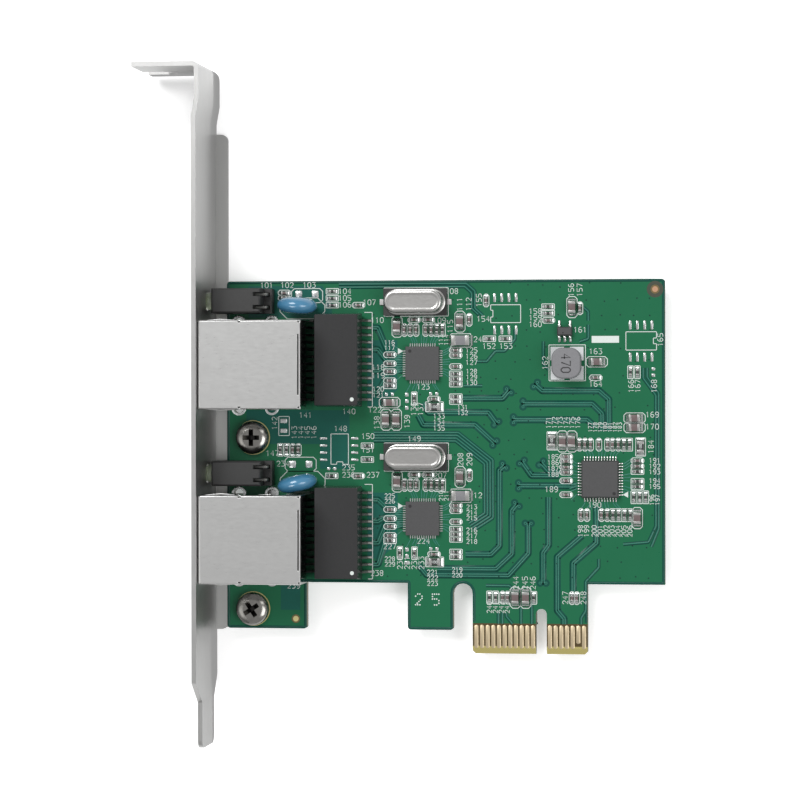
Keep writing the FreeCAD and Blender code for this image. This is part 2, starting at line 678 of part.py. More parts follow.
def make_shield(jack_y):
    """The folded shield: box with an open bottom, face frame, board legs and grounding fingers."""
    half = JACK_WIDTH / 2
    x0, x1 = INNER_FACE, JACK_BACK
    outer = block(x0, x1, jack_y - half, jack_y + half, SHIELD_STANDOFF, JACK_HEIGHT)
    outer = rounded(outer, FACE_BEND, lambda p, t: p.x < x0 + 0.1 and p.z > JACK_HEIGHT - 0.1)
    outer = chamfered(outer, SHIELD_EDGE, lambda p, t: abs(t.x) > 0.9 and p.z > JACK_HEIGHT - 0.1)
    inner = block(
        x0 + SHIELD_THICK,
        x1 - SHIELD_THICK,
        jack_y - half + SHIELD_THICK,
        jack_y + half - SHIELD_THICK,
        -1,
        JACK_HEIGHT - SHIELD_THICK,
    )
    mouth = block(
        x0 - 1,
        x0 + 1,
        jack_y - half + 2 * WINDOW_MARGIN,
        jack_y + half - 2 * WINDOW_MARGIN,
        -1,
        PLUG_FLOOR + PLUG_HEIGHT + WINDOW_MARGIN,
    )
    slit = block(
        x1 - 2 * SHIELD_THICK,
        x1 - SHIELD_THICK,
        jack_y - half * 0.68,
        jack_y + half * 0.68,
        JACK_HEIGHT - 2 * SHIELD_THICK,
        JACK_HEIGHT + 1,
    )
    latch_x = x0 + LEG_X
    windows = block(latch_x - 1.2, latch_x + 1.2, jack_y - half - 1, jack_y + half + 1, 6.5, 8.0)
    shield = outer.cut(inner).cut(mouth).cut(slit).cut(windows).cut(foot_relief(jack_y))
    shield = cut_all(shield, shield_reliefs(jack_y))
    for side in (-1, 1):
        wall = jack_y + side * (half - SHIELD_THICK / 2)
        shield = shield.fuse(plate(latch_x, wall, LEG_WIDTH, SHIELD_THICK, PIN_TIP, SHIELD_STANDOFF + 1))
        shield = shield.fuse(grounding_finger(jack_y, side))
    return shield.removeSplitter()


def shield_reliefs(jack_y):
    """What is sheared out of the shield: round the fingers, the edge notches and the back corners."""
    half = JACK_WIDTH / 2
    root = INNER_FACE + FACE_BEND
    low = JACK_HEIGHT - 2 * SHIELD_THICK
    reach = FINGER_HEIGHT / 2 + FINGER_GAP
    tools = []
    for side in (-1, 1):
        wall = jack_y + side * half
        depth = 2 * (SHIELD_THICK + SHIELD_FIT / 2)
        middle = root + (FINGER_LENGTH + FINGER_GAP) / 2
        tools.append(plate(middle, wall, FINGER_LENGTH + FINGER_GAP, depth, FINGER_Z - reach, FINGER_Z + reach))
        notch_x = INNER_FACE + RELIEF_X
        tools.append(plate(notch_x, wall, RELIEF_SIZE, 2 * RELIEF_SIZE, low, JACK_HEIGHT + 1))
        tools.append(plate(JACK_BACK, wall, 2 * RELIEF_SIZE, 2 * RELIEF_SIZE, low, JACK_HEIGHT + 1))
    return tools


def grounding_finger(jack_y, side):
    """A bowed spring finger in its opening in the shield's side, joined at its front end."""
    wall = jack_y + side * JACK_WIDTH / 2
    skin = side * SHIELD_THICK
    bow = side * FINGER_REACH
    root = INNER_FACE + FACE_BEND
    crest = root + FINGER_LENGTH * 0.55
    end = root + FINGER_LENGTH
    z0 = FINGER_Z - FINGER_HEIGHT / 2
    outline = [
        Vector(root - SHIELD_THICK / 2, wall, z0),
        Vector(root, wall, z0),
        Vector(crest, wall + bow, z0),
        Vector(end, wall + bow / 3, z0),
        Vector(end, wall + bow / 3 - skin, z0),
        Vector(crest, wall + bow - skin, z0),
        Vector(root, wall - skin, z0),
        Vector(root - SHIELD_THICK / 2, wall - skin, z0),
    ]
    return prism(outline, Vector(0, 0, FINGER_HEIGHT))


def make_housing(jack_y):
    """The moulded housing: plug cavity, latch slot, comb slots for the springs, and board pegs."""
    gap = SHIELD_THICK + SHIELD_FIT
    x0, x1 = INNER_FACE + gap, JACK_BACK - gap
    half = JACK_WIDTH / 2 - gap
    top = JACK_HEIGHT - gap
    body = block(x0, x1, jack_y - half, jack_y + half, SHIELD_STANDOFF, top)
    ceiling = PLUG_FLOOR + PLUG_HEIGHT
    cavity = plate(
        x0 + PLUG_DEPTH / 2 - 1, jack_y, PLUG_DEPTH + 2, PLUG_WIDTH, PLUG_FLOOR, ceiling
    )
    latch = plate(
        x0 + PLUG_DEPTH / 2 - 1, jack_y, PLUG_DEPTH + 1, LATCH_WIDTH, PLUG_FLOOR - LATCH_DEPTH, PLUG_FLOOR + 1
    )
    cuts = [cavity, latch, foot_relief(jack_y)]
    for pin_x, pin_y in spring_places(jack_y):
        y0, y1 = pin_y - SPRING_SLOT / 2, pin_y + SPRING_SLOT / 2
        comb_front = x0 + 1.0
        comb_back = x0 + PLUG_DEPTH - 1
        cuts.append(block(comb_front, comb_back, y0, y1, ceiling - 1, ceiling + 1.1))
        cuts.append(block(comb_front, comb_front + 1.2, y0, y1, ceiling, top + 1))
        cuts.append(block(comb_front, pin_x + SPRING_SLOT / 2, y0, y1, top - 1.1, top + 1))
        cuts.append(block(pin_x - SPRING_SLOT / 2, pin_x + SPRING_SLOT / 2, y0, y1, -1, top + 1))
    housing = cut_all(body, cuts)
    for side in (-1, 1):
        peg_y = jack_y + side * PEG_SPACING / 2
        peg_x = INNER_FACE + PEG_X
        peg = many_sided(peg_x, peg_y, PEG_DIAMETER, PIN_TIP, SHIELD_STANDOFF + 0.5, PEG_SIDES)
        housing = housing.fuse(peg)
    return housing.removeSplitter()


def make_spring(pin_x, pin_y):
    """One contact: board pin, run along the top of the housing, and the sloping spring in the cavity."""
    gap = SHIELD_THICK + SHIELD_FIT
    front = INNER_FACE + gap + 1.3
    run = JACK_HEIGHT - gap - 0.8
    half = SPRING_THICK / 2
    knee = PLUG_FLOOR + PLUG_HEIGHT + 0.4
    tip_x = INNER_FACE + gap + PLUG_DEPTH - 2.5
    tip_z = PLUG_FLOOR + 4.8
    y0 = pin_y - SPRING_WIDTH / 2
    outline = [
        Vector(pin_x - half, y0, PIN_TIP),
        Vector(pin_x + half, y0, PIN_TIP),
        Vector(pin_x + half, y0, run + half),
        Vector(front, y0, run + half),
        Vector(front, y0, knee - SPRING_THICK),
        Vector(tip_x, y0, tip_z - half),
        Vector(tip_x, y0, tip_z + half),
        Vector(front + SPRING_THICK, y0, knee),
        Vector(front + SPRING_THICK, y0, run - half),
        Vector(pin_x - half, y0, run - half),
    ]
    return prism(outline, Vector(0, SPRING_WIDTH, 0))


# ---------------------------------------------------------------- status lamps
def lamp_lead_x():
    """Where a lamp's leads go through the board."""
    return INNER_FACE + HOLDER_GAP + HOLDER_LENGTH + HOLDER_STEP_LENGTH / 2


def make_holder(y):
    """The right-angle lamp holder: bored block, low step behind it, and open slots for the leads."""
    x0 = INNER_FACE + HOLDER_GAP
    x1 = x0 + HOLDER_LENGTH
    half = HOLDER_WIDTH / 2
    body = block(x0, x1, y - half, y + half, SHIELD_STANDOFF, HOLDER_HEIGHT)
    body = chamfered(body, 0.3, lambda p, t: abs(t.z) < 0.1 and p.z > HOLDER_HEIGHT - 0.1)
    step = block(x1 - 0.1, x1 + HOLDER_STEP_LENGTH, y - half, y + half, SHIELD_STANDOFF, HOLDER_STEP_HEIGHT)
    holder = body.fuse(step).removeSplitter()
    base = OUTER_FACE - LAMP_PROUD + LAMP_LENGTH
    bore = Part.makeCylinder(
        LAMP_DIAMETER / 2 + LAMP_FIT, base + LAMP_FIT - x0 + 1, Vector(x0 - 1, y, LAMP_Z), EAST
    )
    cuts = [bore]
    for side in (-1, 1):
        lead_y = y + side * LEAD_SPACING / 2
        y0, y1 = lead_y - LEAD_SLOT / 2, lead_y + LEAD_SLOT / 2
        cuts.append(block(base - 0.1, x1 + 1, y0, y1, LAMP_Z - LEAD_SLOT / 2, LAMP_Z + LEAD_SLOT / 2))
        cuts.append(block(x1 - 1.3, x1 + 1, y0, y1, LAMP_Z - LEAD_SLOT / 2, HOLDER_HEIGHT + 1))
        lead_x = lamp_lead_x()
        cuts.append(block(lead_x - LEAD_SLOT / 2, lead_x + LEAD_SLOT / 2, y0, y1, -1, LAMP_Z))
    return cut_all(holder, cuts)


def make_lamp(y):
    """The clear lamp: a round body with a domed end, through the bracket's hole."""
    tip = OUTER_FACE - LAMP_PROUD
    radius = LAMP_DIAMETER / 2
    base = tip + LAMP_LENGTH
    dome = []
    for angle in (30, 90):
        turn = math.radians(angle)
        along = tip + radius * (1 - math.cos(turn))
        dome.append(Vector(along, y + radius * math.sin(turn), LAMP_Z))
    dome[0].x = tip
    profile = [Vector(tip, y, LAMP_Z)] + dome + [Vector(base, y + radius, LAMP_Z), Vector(base, y, LAMP_Z)]
    face = Part.Face(Part.makePolygon(profile + profile[:1]))
    return face.revolve(Vector(tip, y, LAMP_Z), EAST, 360)


def make_lamp_lead(y):
    """A lamp lead: out of the lamp's base, back through the holder and down through the board."""
    base = OUTER_FACE - LAMP_PROUD + LAMP_LENGTH
    lead_x = lamp_lead_x()
    half = LEAD_WIDTH / 2
    y0 = y - half
    outline = [
        Vector(base, y0, LAMP_Z - half),
        Vector(lead_x - half, y0, LAMP_Z - half),
        Vector(lead_x - half, y0, PIN_TIP),
        Vector(lead_x + half, y0, PIN_TIP),
        Vector(lead_x + half, y0, LAMP_Z),
        Vector(lead_x, y0, LAMP_Z + half),
        Vector(base, y0, LAMP_Z + half),
    ]
    return prism(outline, Vector(0, LEAD_WIDTH, 0))


# ---------------------------------------------------------------- packages with leads
def moulded_body(x, y, length, width, z0, parting, z1):
    """A moulded package: widest at its parting line, drafted above and below it."""
    faces = []
    for z, inset in ((z0, DRAFT), (parting, 0), (z1, DRAFT)):
        half_l, half_w = length / 2 - inset, width / 2 - inset
        corners = [(-half_l, -half_w), (half_l, -half_w), (half_l, half_w), (-half_l, half_w)]
        points = [Vector(x + a, y + b, z) for a, b in corners]
        faces.append(Part.makePolygon(points + points[:1]))
    return Part.makeLoft(faces, True, True)


def gull_lead(start, reach, height, width, thick):
    """A gull-wing lead along +X: out of the body, down, and along the board."""
    bend = start + (reach - start) * 0.3
    drop = start + (reach - start) * 0.5
    outline = [
        Vector(start, -width / 2, height - thick / 2),
        Vector(bend, -width / 2, height - thick / 2),
        Vector(drop - thick, -width / 2, 0),
        Vector(reach, -width / 2, 0),
        Vector(reach, -width / 2, thick),
        Vector(drop, -width / 2, thick),
        Vector(bend + thick, -width / 2, height + thick / 2),
        Vector(start, -width / 2, height + thick / 2),
    ]
    return prism(outline, Vector(0, width, 0))


def sloped_lead(start, reach, height, width, thick):
    """A fine lead along +X: from the body straight down to its foot."""
    heel = start + (reach - start) * 0.4
    outline = [
        Vector(start, -width / 2, height - thick / 2),
        Vector(heel, -width / 2, 0),
        Vector(reach, -width / 2, 0),
        Vector(reach, -width / 2, thick),
        Vector(heel + thick, -width / 2, thick),
        Vector(start, -width / 2, height + thick / 2),
    ]
    return prism(outline, Vector(0, width, 0))


def lead_row(lead, x, y, angle, count, pitch):
    """Copies of a lead along one side of a package, turned by angle about the package's middle."""
    row = []
    for index in range(count):
        copy = lead.copy()
        copy.translate(Vector(0, (index - (count - 1) / 2) * pitch, 0))
        copy.rotate(Vector(0, 0, 0), UP, angle)
        copy.translate(Vector(x, y, 0))
        row.append(copy)
    return row


def make_transformer(x, y):
    """A network transformer: drafted body and two rows of gull-wing leads."""
    height = TRANSFORMER_LEAD_Z
    body = moulded_body(x, y, TRANSFORMER_WIDTH, TRANSFORMER_LENGTH, 2 * STANDOFF, height, TRANSFORMER_TOP)
    half = TRANSFORMER_WIDTH / 2
    lead = sloped_lead(half, half + TRANSFORMER_REACH, height, LEAD_WIDTH, 2 * LEAD_THICK)
    leads = []
    for angle in (0, 180):
        leads += lead_row(lead, x, y, angle, TRANSFORMER_PIN_COUNT, TRANSFORMER_PITCH)
    return body, leads


def make_controller(x, y):
    """A flat no-lead package on its solder."""
    size = CONTROLLER_BODY
    body = plate(x, y, size, size, 0, CONTROLLER_HEIGHT)
    return body


def make_bridge(x, y):
    """The bridge chip: drafted square body with leads on four sides."""
    height = (STANDOFF + BRIDGE_TOP) / 2
    body = moulded_body(x, y, BRIDGE_BODY, BRIDGE_BODY, STANDOFF, height, BRIDGE_TOP)
    half = BRIDGE_BODY / 2
    lead = sloped_lead(half, BRIDGE_SPAN / 2, height, BRIDGE_LEAD, LEAD_THICK)
    leads = []
    for angle in (0, 90, 180, 270):
        leads += lead_row(lead, x, y, angle, BRIDGE_LEAD_COUNT, BRIDGE_PITCH)
    return body, leads


def make_regulator(x, y):
    """The five-lead switching regulator."""
    length, width, top = REGULATOR_BODY
    height = (STANDOFF + top) / 2
    body = moulded_body(x, y, length, width, STANDOFF, height, top)
    lead = gull_lead(width / 2, REGULATOR_SPAN / 2, height, REGULATOR_LEAD, LEAD_THICK)
    leads = lead_row(lead, x, y, 270, 3, REGULATOR_PITCH)
    leads += lead_row(lead, x, y, 90, 2, 2 * REGULATOR_PITCH)
    return body, leads


# ---------------------------------------------------------------- disc capacitors, crystals, inductor
def disc_lead_place(index, side):
    """Where one lead of a disc capacitor goes through the board."""
    angle = math.radians(DISC_YAW[index])
    reach = side * DISC_LEAD_SPACING / 2
    return DISC_X + reach * math.cos(angle), DISC_YS[index] + reach * math.sin(angle)


def make_disc(index):
    """A dipped disc capacitor standing on its two leads."""
    y = DISC_YS[index]
    radius = DISC_DIAMETER / 2
    half = DISC_THICK / 2
    across = [(0.55, 1.0), (1.0, 0.3)]
    front = [Vector(DISC_X + radius * r, y + half * h, DISC_Z) for r, h in across]
    back = [Vector(DISC_X + radius * r, y - half * h, DISC_Z) for r, h in reversed(across)]
    profile = [Vector(DISC_X, y + half, DISC_Z)] + front + back + [Vector(DISC_X, y - half, DISC_Z)]
    face = Part.Face(Part.makePolygon(profile + profile[:1]))
    disc = face.revolve(Vector(DISC_X, y, DISC_Z), NORTH, 360)
    leads = []
    for side in (-1, 1):
        lead_x = DISC_X + side * DISC_LEAD_SPACING / 2
        lead = many_sided(lead_x, y, DISC_LEAD, PIN_TIP, DISC_Z - radius / 2).cut(disc)
        leads.append(turned(lead, DISC_X, y, DISC_YAW[index]))
    return turned(disc, DISC_X, y, DISC_YAW[index]), leads


def make_crystal(x, y):
    """A low crystal can with its rim, on a base plate with a terminal at each end."""
    base_l, base_w, base_h = CRYSTAL_BASE
    rim_l, rim_w, rim_h = CRYSTAL_RIM
    can_l, can_w = CRYSTAL_CAN
    base_top = TERMINAL_THICK + base_h
    base = plate(x, y, base_l, base_w, TERMINAL_THICK, base_top)
    rim = stadium(x, y, rim_l, rim_w, base_top, base_top + rim_h)
    can = stadium(x, y, can_l, can_w, base_top, CRYSTAL_TOP)
    can = chamfered(can, CRYSTAL_EDGE, lambda p, t: p.z > CRYSTAL_TOP - 0.01)
    terminals = []
    for side in (-1, 1):
        inner = base_l / 2 - 2
        outer = base_l / 2 + TERMINAL_REACH
        middle = x + side * (inner + outer) / 2
        terminals.append(plate(middle, y, outer - inner, TERMINAL_WIDTH, 0, TERMINAL_THICK))
    return can.fuse(rim).removeSplitter(), base, terminals


def make_inductor(x, y):
    """The shielded power inductor: rounded core on a notched base."""
    half = INDUCTOR_BASE / 2
    base = plate(x, y, INDUCTOR_BASE, INDUCTOR_BASE, 0, INDUCTOR_BASE_THICK)
    notches = []
    for angle in (0, 90, 180, 270):
        notch = plate(x + half, y, INDUCTOR_NOTCH, INDUCTOR_NOTCH, -1, INDUCTOR_BASE_THICK + 1)
        notches.append(turned(notch, x, y, angle))
    core_l, core_w = INDUCTOR_CORE
    core = plate(x, y, core_l, core_w, INDUCTOR_BASE_THICK, INDUCTOR_TOP)
    core = rounded(core, INDUCTOR_CORE_ROUND, lambda p, t: abs(t.z) > 0.9)
    core = chamfered(core, INDUCTOR_EDGE, lambda p, t: p.z > INDUCTOR_TOP - 0.01)
    return core, cut_all(base, notches)


# ---------------------------------------------------------------- chip parts
class Chips:
    """Collects the chip parts by kind, for one node a kind."""

    def __init__(self):
        self.solids = {
            "small_capacitors": [],
            "small_resistors": [],
            "large_capacitors": [],
            "marked_resistors": [],
            "ferrite_beads": [],
        }

    def chip(self, node, size, x, y, upright):
        """One chip, along Y if upright and along X if not."""
        length, width, height = size
        along_x, along_y = (width, length) if upright else (length, width)
        self.solids[node].append(plate(x, y, along_x, along_y, 0, height))

    def capacitor(self, x, y, upright):
        """A small capacitor."""
        self.chip("small_capacitors", SMALL_CAPACITOR, x, y, upright)

    def resistor(self, x, y, upright):
        """A small resistor."""
        self.chip("small_resistors", SMALL_RESISTOR, x, y, upright)

    def large(self, x, y, upright):
        """A large capacitor."""
        self.chip("large_capacitors", LARGE_CAPACITOR, x, y, upright)

    def marked(self, x, y, upright):
        """A resistor large enough to be marked."""
        self.chip("marked_resistors", MARKED_RESISTOR, x, y, upright)

    def bead(self, x, y):
        """A ferrite bead."""
        self.chip("ferrite_beads", FERRITE_BEAD, x, y, False)


def place_port_parts(chips, x, y):
    """The parts round one controller at (x, y). Offsets are from its middle."""
    chips.large(x - 4.55, y + 6.5, True)
    chips.large(x + 6.65, y + 7.35, True)
    chips.capacitor(x + 8.3, y + 7.65, True)
    for step in (-1.5, 1.0):
        chips.capacitor(x + step, y + 7.7, False)
    for step in (-3.25, -2.2, -1.15, 0.55, 1.55):
        chips.capacitor(x + step, y + 5.9, True)
    for step in (2.55, 3.55):
        chips.resistor(x + step, y + 5.9, True)
    chips.bead(x + 6.8, y + 4.03)
    for step in (2.3, 1.4, -0.57):
        chips.capacitor(x + 5.9, y + step, False)
    for step in (-1.87, -2.77, -3.67):
        chips.resistor(x + 5.9, y + step, False)
    for step in (1.55, -0.05, -1.45, -3.05):
        chips.capacitor(x - 5.85, y + step, False)
    chips.resistor(x - 5.85, y - 3.95, False)
    chips.resistor(x - 1.5, y - 6.17, True)
    chips.capacitor(x + 2.0, y - 6.3, False)
    chips.marked(x + 2.1, y - 7.67, False)
    for step in (-5.9, -6.75):
        chips.resistor(x + 5.9, y + step, False)


def place_bridge_parts(chips, x, y):
    """The parts round the bridge chip at (x, y). Offsets are from its middle."""
    for step in (9.05, 10.7):
        chips.large(x + 6.0, y + step, False)
    chips.marked(x - 8.5, y + 6.7, True)
    for step in (-6.65, -5.0):
        chips.large(x + step, y + 6.6, True)
    for step in (-3.65, -2.7, -1.7, -0.25, 1.25, 2.15, 3.15):
        chips.capacitor(x + step, y + 6.05, True)
    for step in (4.15, 5.15):
        chips.resistor(x + step, y + 6.05, True)
    chips.marked(x + 7.05, y + 5.65, True)
    for step in (3.25, 2.3):
        chips.capacitor(x + 6.5, y + step, False)
    for step in (1.35, -0.35, -1.3):
        chips.resistor(x + 6.5, y + step, False)
    for step in (5.85, 6.9, 7.95):
        chips.resistor(x + step, y - 3.15, True)
    for step in (3.95, 3.1, 2.1, 1.2, -0.3, -2.75):
        chips.capacitor(x - 6.0, y + step, False)
    for step in (-3.4, -2.35, 0.2, 1.2):
        chips.capacitor(x + step, y - 6.3, True)
    for step in (2.2, 3.2, 4.25, 5.25):
        chips.resistor(x + step, y - 6.3, True)
    chips.large(x + 6.45, y - 6.8, True)


def place_power_parts(chips, x, y):
    """The parts round the regulator at (x, y)."""
    for step in (4.35, 3.2):
        chips.resistor(x - 2.95, y + step, False)
    chips.capacitor(x - 2.9, y + 1.95, False)
    chips.large(x + 1.25, y + 4.25, True)
    chips.capacitor(x + 2.65, y + 4.05, True)
    chips.large(x + 5.6, y - 5.35, False)
    chips.capacitor(x + 5.4, y - 8.15, False)


def place_connector_parts(chips):
    """The parts just above the edge connector."""
    y = 9.9
    for x in (-9.15, -8.05):
        chips.resistor(x, y, True)
    for x in (-6.85, -5.95, 5.4, 6.25):
        chips.capacitor(x, y, True)
    for x in (-4.6, -2.75):
        chips.large(x, y, True)
    chips.resistor(-1.3, y, True)


def place_jack_parts(chips):
    """The parts beside the jacks, lamps and transformers."""
    x = BOARD_LEFT
    top = BOARD_TOP
    for step in (2.1, 3.0):
        chips.capacitor(x + 10.4, top - step, False)
    for step in (1.87, 3.1, 4.32):
        chips.resistor(x + 19.05, top - step, False)
    chips.capacitor(x + 23.75, top - 4.35, False)
    second = SCREW_YS[0]
    for step, kind in ((9.65, chips.resistor), (10.8, chips.resistor), (11.9, chips.capacitor)):
        kind(x + step, second - 2.2, True)
    chips.capacitor(x + 12.9, second - 2.2, True)
    chips.resistor(x + 18.9, second - 6.8, False)
    chips.capacitor(x + 23.7, second - 6.8, False)
    for step in (-1.45, -3.9):
        chips.resistor(x + 25.3, second + step, False)


def place_middle_parts(chips):
    """The single parts between the two controllers and by the memory sites."""
    x, y = PHY_X, PHY_YS[0]
    chips.large(x - 5.9, y - 6.92, False)
    for step in (-6.55, -4.7):
        chips.large(x + step, y - 9.95, True)
    chips.capacitor(x + 11.3, y + 11.05, True)
    for step in (11.85, 14.7):
        chips.resistor(x + step, y + 4.3, False)
    chips.resistor(x - 4.1, y - PHY_PITCH - 6.1, True)


def place_spare_parts(chips):
    """The two resistors by the memory site that carries no chip."""
    x, y = BOARD_RIGHT - 5.4, BOARD_TOP - 16.35
    for step in (-0.6, 0.6):
        chips.resistor(x + step, y, True)


def make_chips():
    """Every chip part, by node."""
    chips = Chips()
    for y in PHY_YS:
        place_port_parts(chips, PHY_X, y)
    place_bridge_parts(chips, BRIDGE_X, BRIDGE_Y)
    place_power_parts(chips, REGULATOR_X, REGULATOR_Y)
    place_connector_parts(chips)
    place_jack_parts(chips)
    place_middle_parts(chips)
    place_spare_parts(chips)
    return chips.solids


# ---------------------------------------------------------------- the whole card
def main():
    """Builds every node."""
    os.makedirs("parts", exist_ok=True)
    save("pcb", make_board())
    save("edge_contacts", make_edge_contacts())
    save("bracket", make_bracket())
    save("bracket_screws", [make_screw(y, angle) for y, angle in zip(SCREW_YS, RECESS_ANGLES)])
    for index, side in enumerate(SIDES):
        jack_y = JACK_YS[index]
        save(side + "_jack_shield", [make_shield(jack_y)])
        save(side + "_jack_housing", [make_housing(jack_y)])
        save(side + "_jack_contacts", [make_spring(x, y) for x, y in spring_places(jack_y)])
        lamp_y = jack_y + LAMP_ABOVE_JACK
        save(side + "_lamp_holder", [make_holder(lamp_y)])
        save(side + "_lamp", [make_lamp(lamp_y)])
        leads = [make_lamp_lead(lamp_y + step * LEAD_SPACING / 2) for step in (-1, 1)]
        save(side + "_lamp_leads", leads)
        transformer_x = JACK_BACK + TRANSFORMER_GAP + TRANSFORMER_WIDTH / 2
        body, leads = make_transformer(transformer_x, jack_y + TRANSFORMER_ABOVE_JACK)
        save(side + "_transformer", [body])
        save(side + "_transformer_leads", leads)
        disc, leads = make_disc(index)
        save(side + "_disc_capacitor", [disc])
        save(side + "_disc_capacitor_leads", leads)
        save(side + "_controller", [make_controller(PHY_X, PHY_YS[index])])
        can, base, terminals = make_crystal(PHY_X + CRYSTAL_X, PHY_YS[index] + CRYSTAL_Y)
        save(side + "_crystal_can", [can])
        save(side + "_crystal_base", [base])
        save(side + "_crystal_terminals", terminals)
    body, leads = make_bridge(BRIDGE_X, BRIDGE_Y)
    save("bridge_chip", [body])
    save("bridge_chip_leads", leads)
    body, leads = make_regulator(REGULATOR_X, REGULATOR_Y)
    save("regulator", [body])
    save("regulator_leads", leads)
    core, base = make_inductor(INDUCTOR_X, INDUCTOR_Y)
    save("inductor_core", [core])
    save("inductor_base", [base])
    for node, solids in make_chips().items():
        save(node, solids)


main()
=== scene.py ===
"""Looks of a network interface card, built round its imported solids.

Lengths are in metres in the card's own frame: +X runs away from the slot bracket, +Y away from the edge
connector and +Z out of the component side. Sizes written in millimetres are multiplied by MM.
"""

import json
import logging
import math
import random
from collections.abc import Iterable, Sequence
from dataclasses import dataclass, field
from enum import Enum
from typing import Any

import bmesh
import bpy
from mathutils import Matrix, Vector

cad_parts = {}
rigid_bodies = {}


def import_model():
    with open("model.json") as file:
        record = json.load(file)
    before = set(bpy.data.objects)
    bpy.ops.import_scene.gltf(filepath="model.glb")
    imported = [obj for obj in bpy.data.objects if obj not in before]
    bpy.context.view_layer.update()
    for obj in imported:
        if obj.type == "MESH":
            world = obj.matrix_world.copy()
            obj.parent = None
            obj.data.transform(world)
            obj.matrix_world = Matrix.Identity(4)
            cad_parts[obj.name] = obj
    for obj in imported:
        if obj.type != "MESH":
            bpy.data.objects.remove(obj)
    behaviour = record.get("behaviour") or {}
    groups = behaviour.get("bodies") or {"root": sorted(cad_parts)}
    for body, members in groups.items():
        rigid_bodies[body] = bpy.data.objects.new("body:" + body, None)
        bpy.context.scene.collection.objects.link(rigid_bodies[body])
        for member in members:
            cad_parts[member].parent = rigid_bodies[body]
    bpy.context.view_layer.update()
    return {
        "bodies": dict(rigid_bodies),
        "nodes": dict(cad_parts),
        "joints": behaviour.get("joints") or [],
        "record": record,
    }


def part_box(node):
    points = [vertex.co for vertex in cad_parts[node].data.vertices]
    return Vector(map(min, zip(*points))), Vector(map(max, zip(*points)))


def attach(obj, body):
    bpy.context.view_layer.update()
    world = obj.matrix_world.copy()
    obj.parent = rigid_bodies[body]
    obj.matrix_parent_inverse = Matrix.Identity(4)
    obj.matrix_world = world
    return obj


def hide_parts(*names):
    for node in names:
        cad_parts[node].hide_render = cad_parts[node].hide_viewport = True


LOG = logging.getLogger("card")
MM = 0.001
SIDES = ("upper", "lower")
UP = Vector((0, 0, 1))
DOWN = Vector((0, 0, -1))
ALONG_X = Vector((1, 0, 0))
Point = tuple[float, float]
Size = tuple[float, float, float]
Rows = tuple[tuple[float, ...], ...]
Tree = bpy.types.NodeTree
Socket = bpy.types.NodeSocket
CARD: dict[str, Any] = {}
TREES: dict[str, tuple[Tree, dict[str, str]]] = {}


def mm(x: float, y: float, z: float = 0.0) -> Vector:
    """A place given in millimetres."""
    return Vector((x * MM, y * MM, z * MM))


def route(numbers: Sequence[float]) -> list[Point]:
    """Points from a row of x, y, x, y."""
    return list(zip(numbers[::2], numbers[1::2]))


# ---------------------------------------------------------------- colour and nodes
def linear(value: str) -> tuple[float, float, float, float]:
    """Turns an sRGB hex value into a linear colour.

    Args:
        value: The colour as "#rrggbb".

    Returns:
        Red, green, blue and alpha as linear values.
    """
    channels = [int(value[i : i + 2], 16) / 255 for i in (1, 3, 5)]
    light = [c / 12.92 if c <= 0.04045 else ((c + 0.055) / 1.055) ** 2.4 for c in channels]
    return light[0], light[1], light[2], 1.0


def add(tree: Tree, kind: str, settings: dict[str, Any], inputs: dict[Any, Any]) -> bpy.types.Node:
    """Adds a node with its settings and links.

    Args:
        tree: The node tree.
        kind: The node's type name.
        settings: The node's own properties.
        inputs: Socket name or number to a value, or to the socket that feeds it.

    Returns:
        The new node.
    """
    node = tree.nodes.new(kind)
    for name, value in settings.items():
        setattr(node, name, value)
    for name, value in inputs.items():
        if isinstance(value, Socket):
            tree.links.new(value, node.inputs[name])
        else:
            node.inputs[name].default_value = value
    return node


def maths(tree: Tree, operation: str, first: Any, second: Any = 0.0) -> Socket:
    """The result of one operation on two values or sockets."""
    return add(tree, "ShaderNodeMath", {"operation": operation}, {0: first, 1: second}).outputs[0]


def noise(tree: Tree, place: Socket, size: float, detail: float) -> Socket:
    """A noise whose size is in millimetres."""
    inputs = {"Vector": place, "Scale": 1 / size, "Detail": detail}
    return add(tree, "ShaderNodeTexNoise", {}, inputs).outputs["Fac"]


def mixed(tree: Tree, kind: str, factor: Socket, first: Any, second: Any) -> Socket:
    """A mix of two colours or numbers."""
    ends = {"Factor": factor, "A": first, "B": second}
    return add(tree, "ShaderNodeMix", {"data_type": kind}, ends).outputs["Result"]


def on_side(tree: Tree, limit: float) -> Socket:
    """1 on faces whose normal's height is under a limit, so on upright ones."""
    geometry = add(tree, "ShaderNodeNewGeometry", {}, {})
    normal = add(tree, "ShaderNodeSeparateXYZ", {}, {"Vector": geometry.outputs["True Normal"]})
    return maths(tree, "LESS_THAN", maths(tree, "ABSOLUTE", normal.outputs["Z"]), limit)


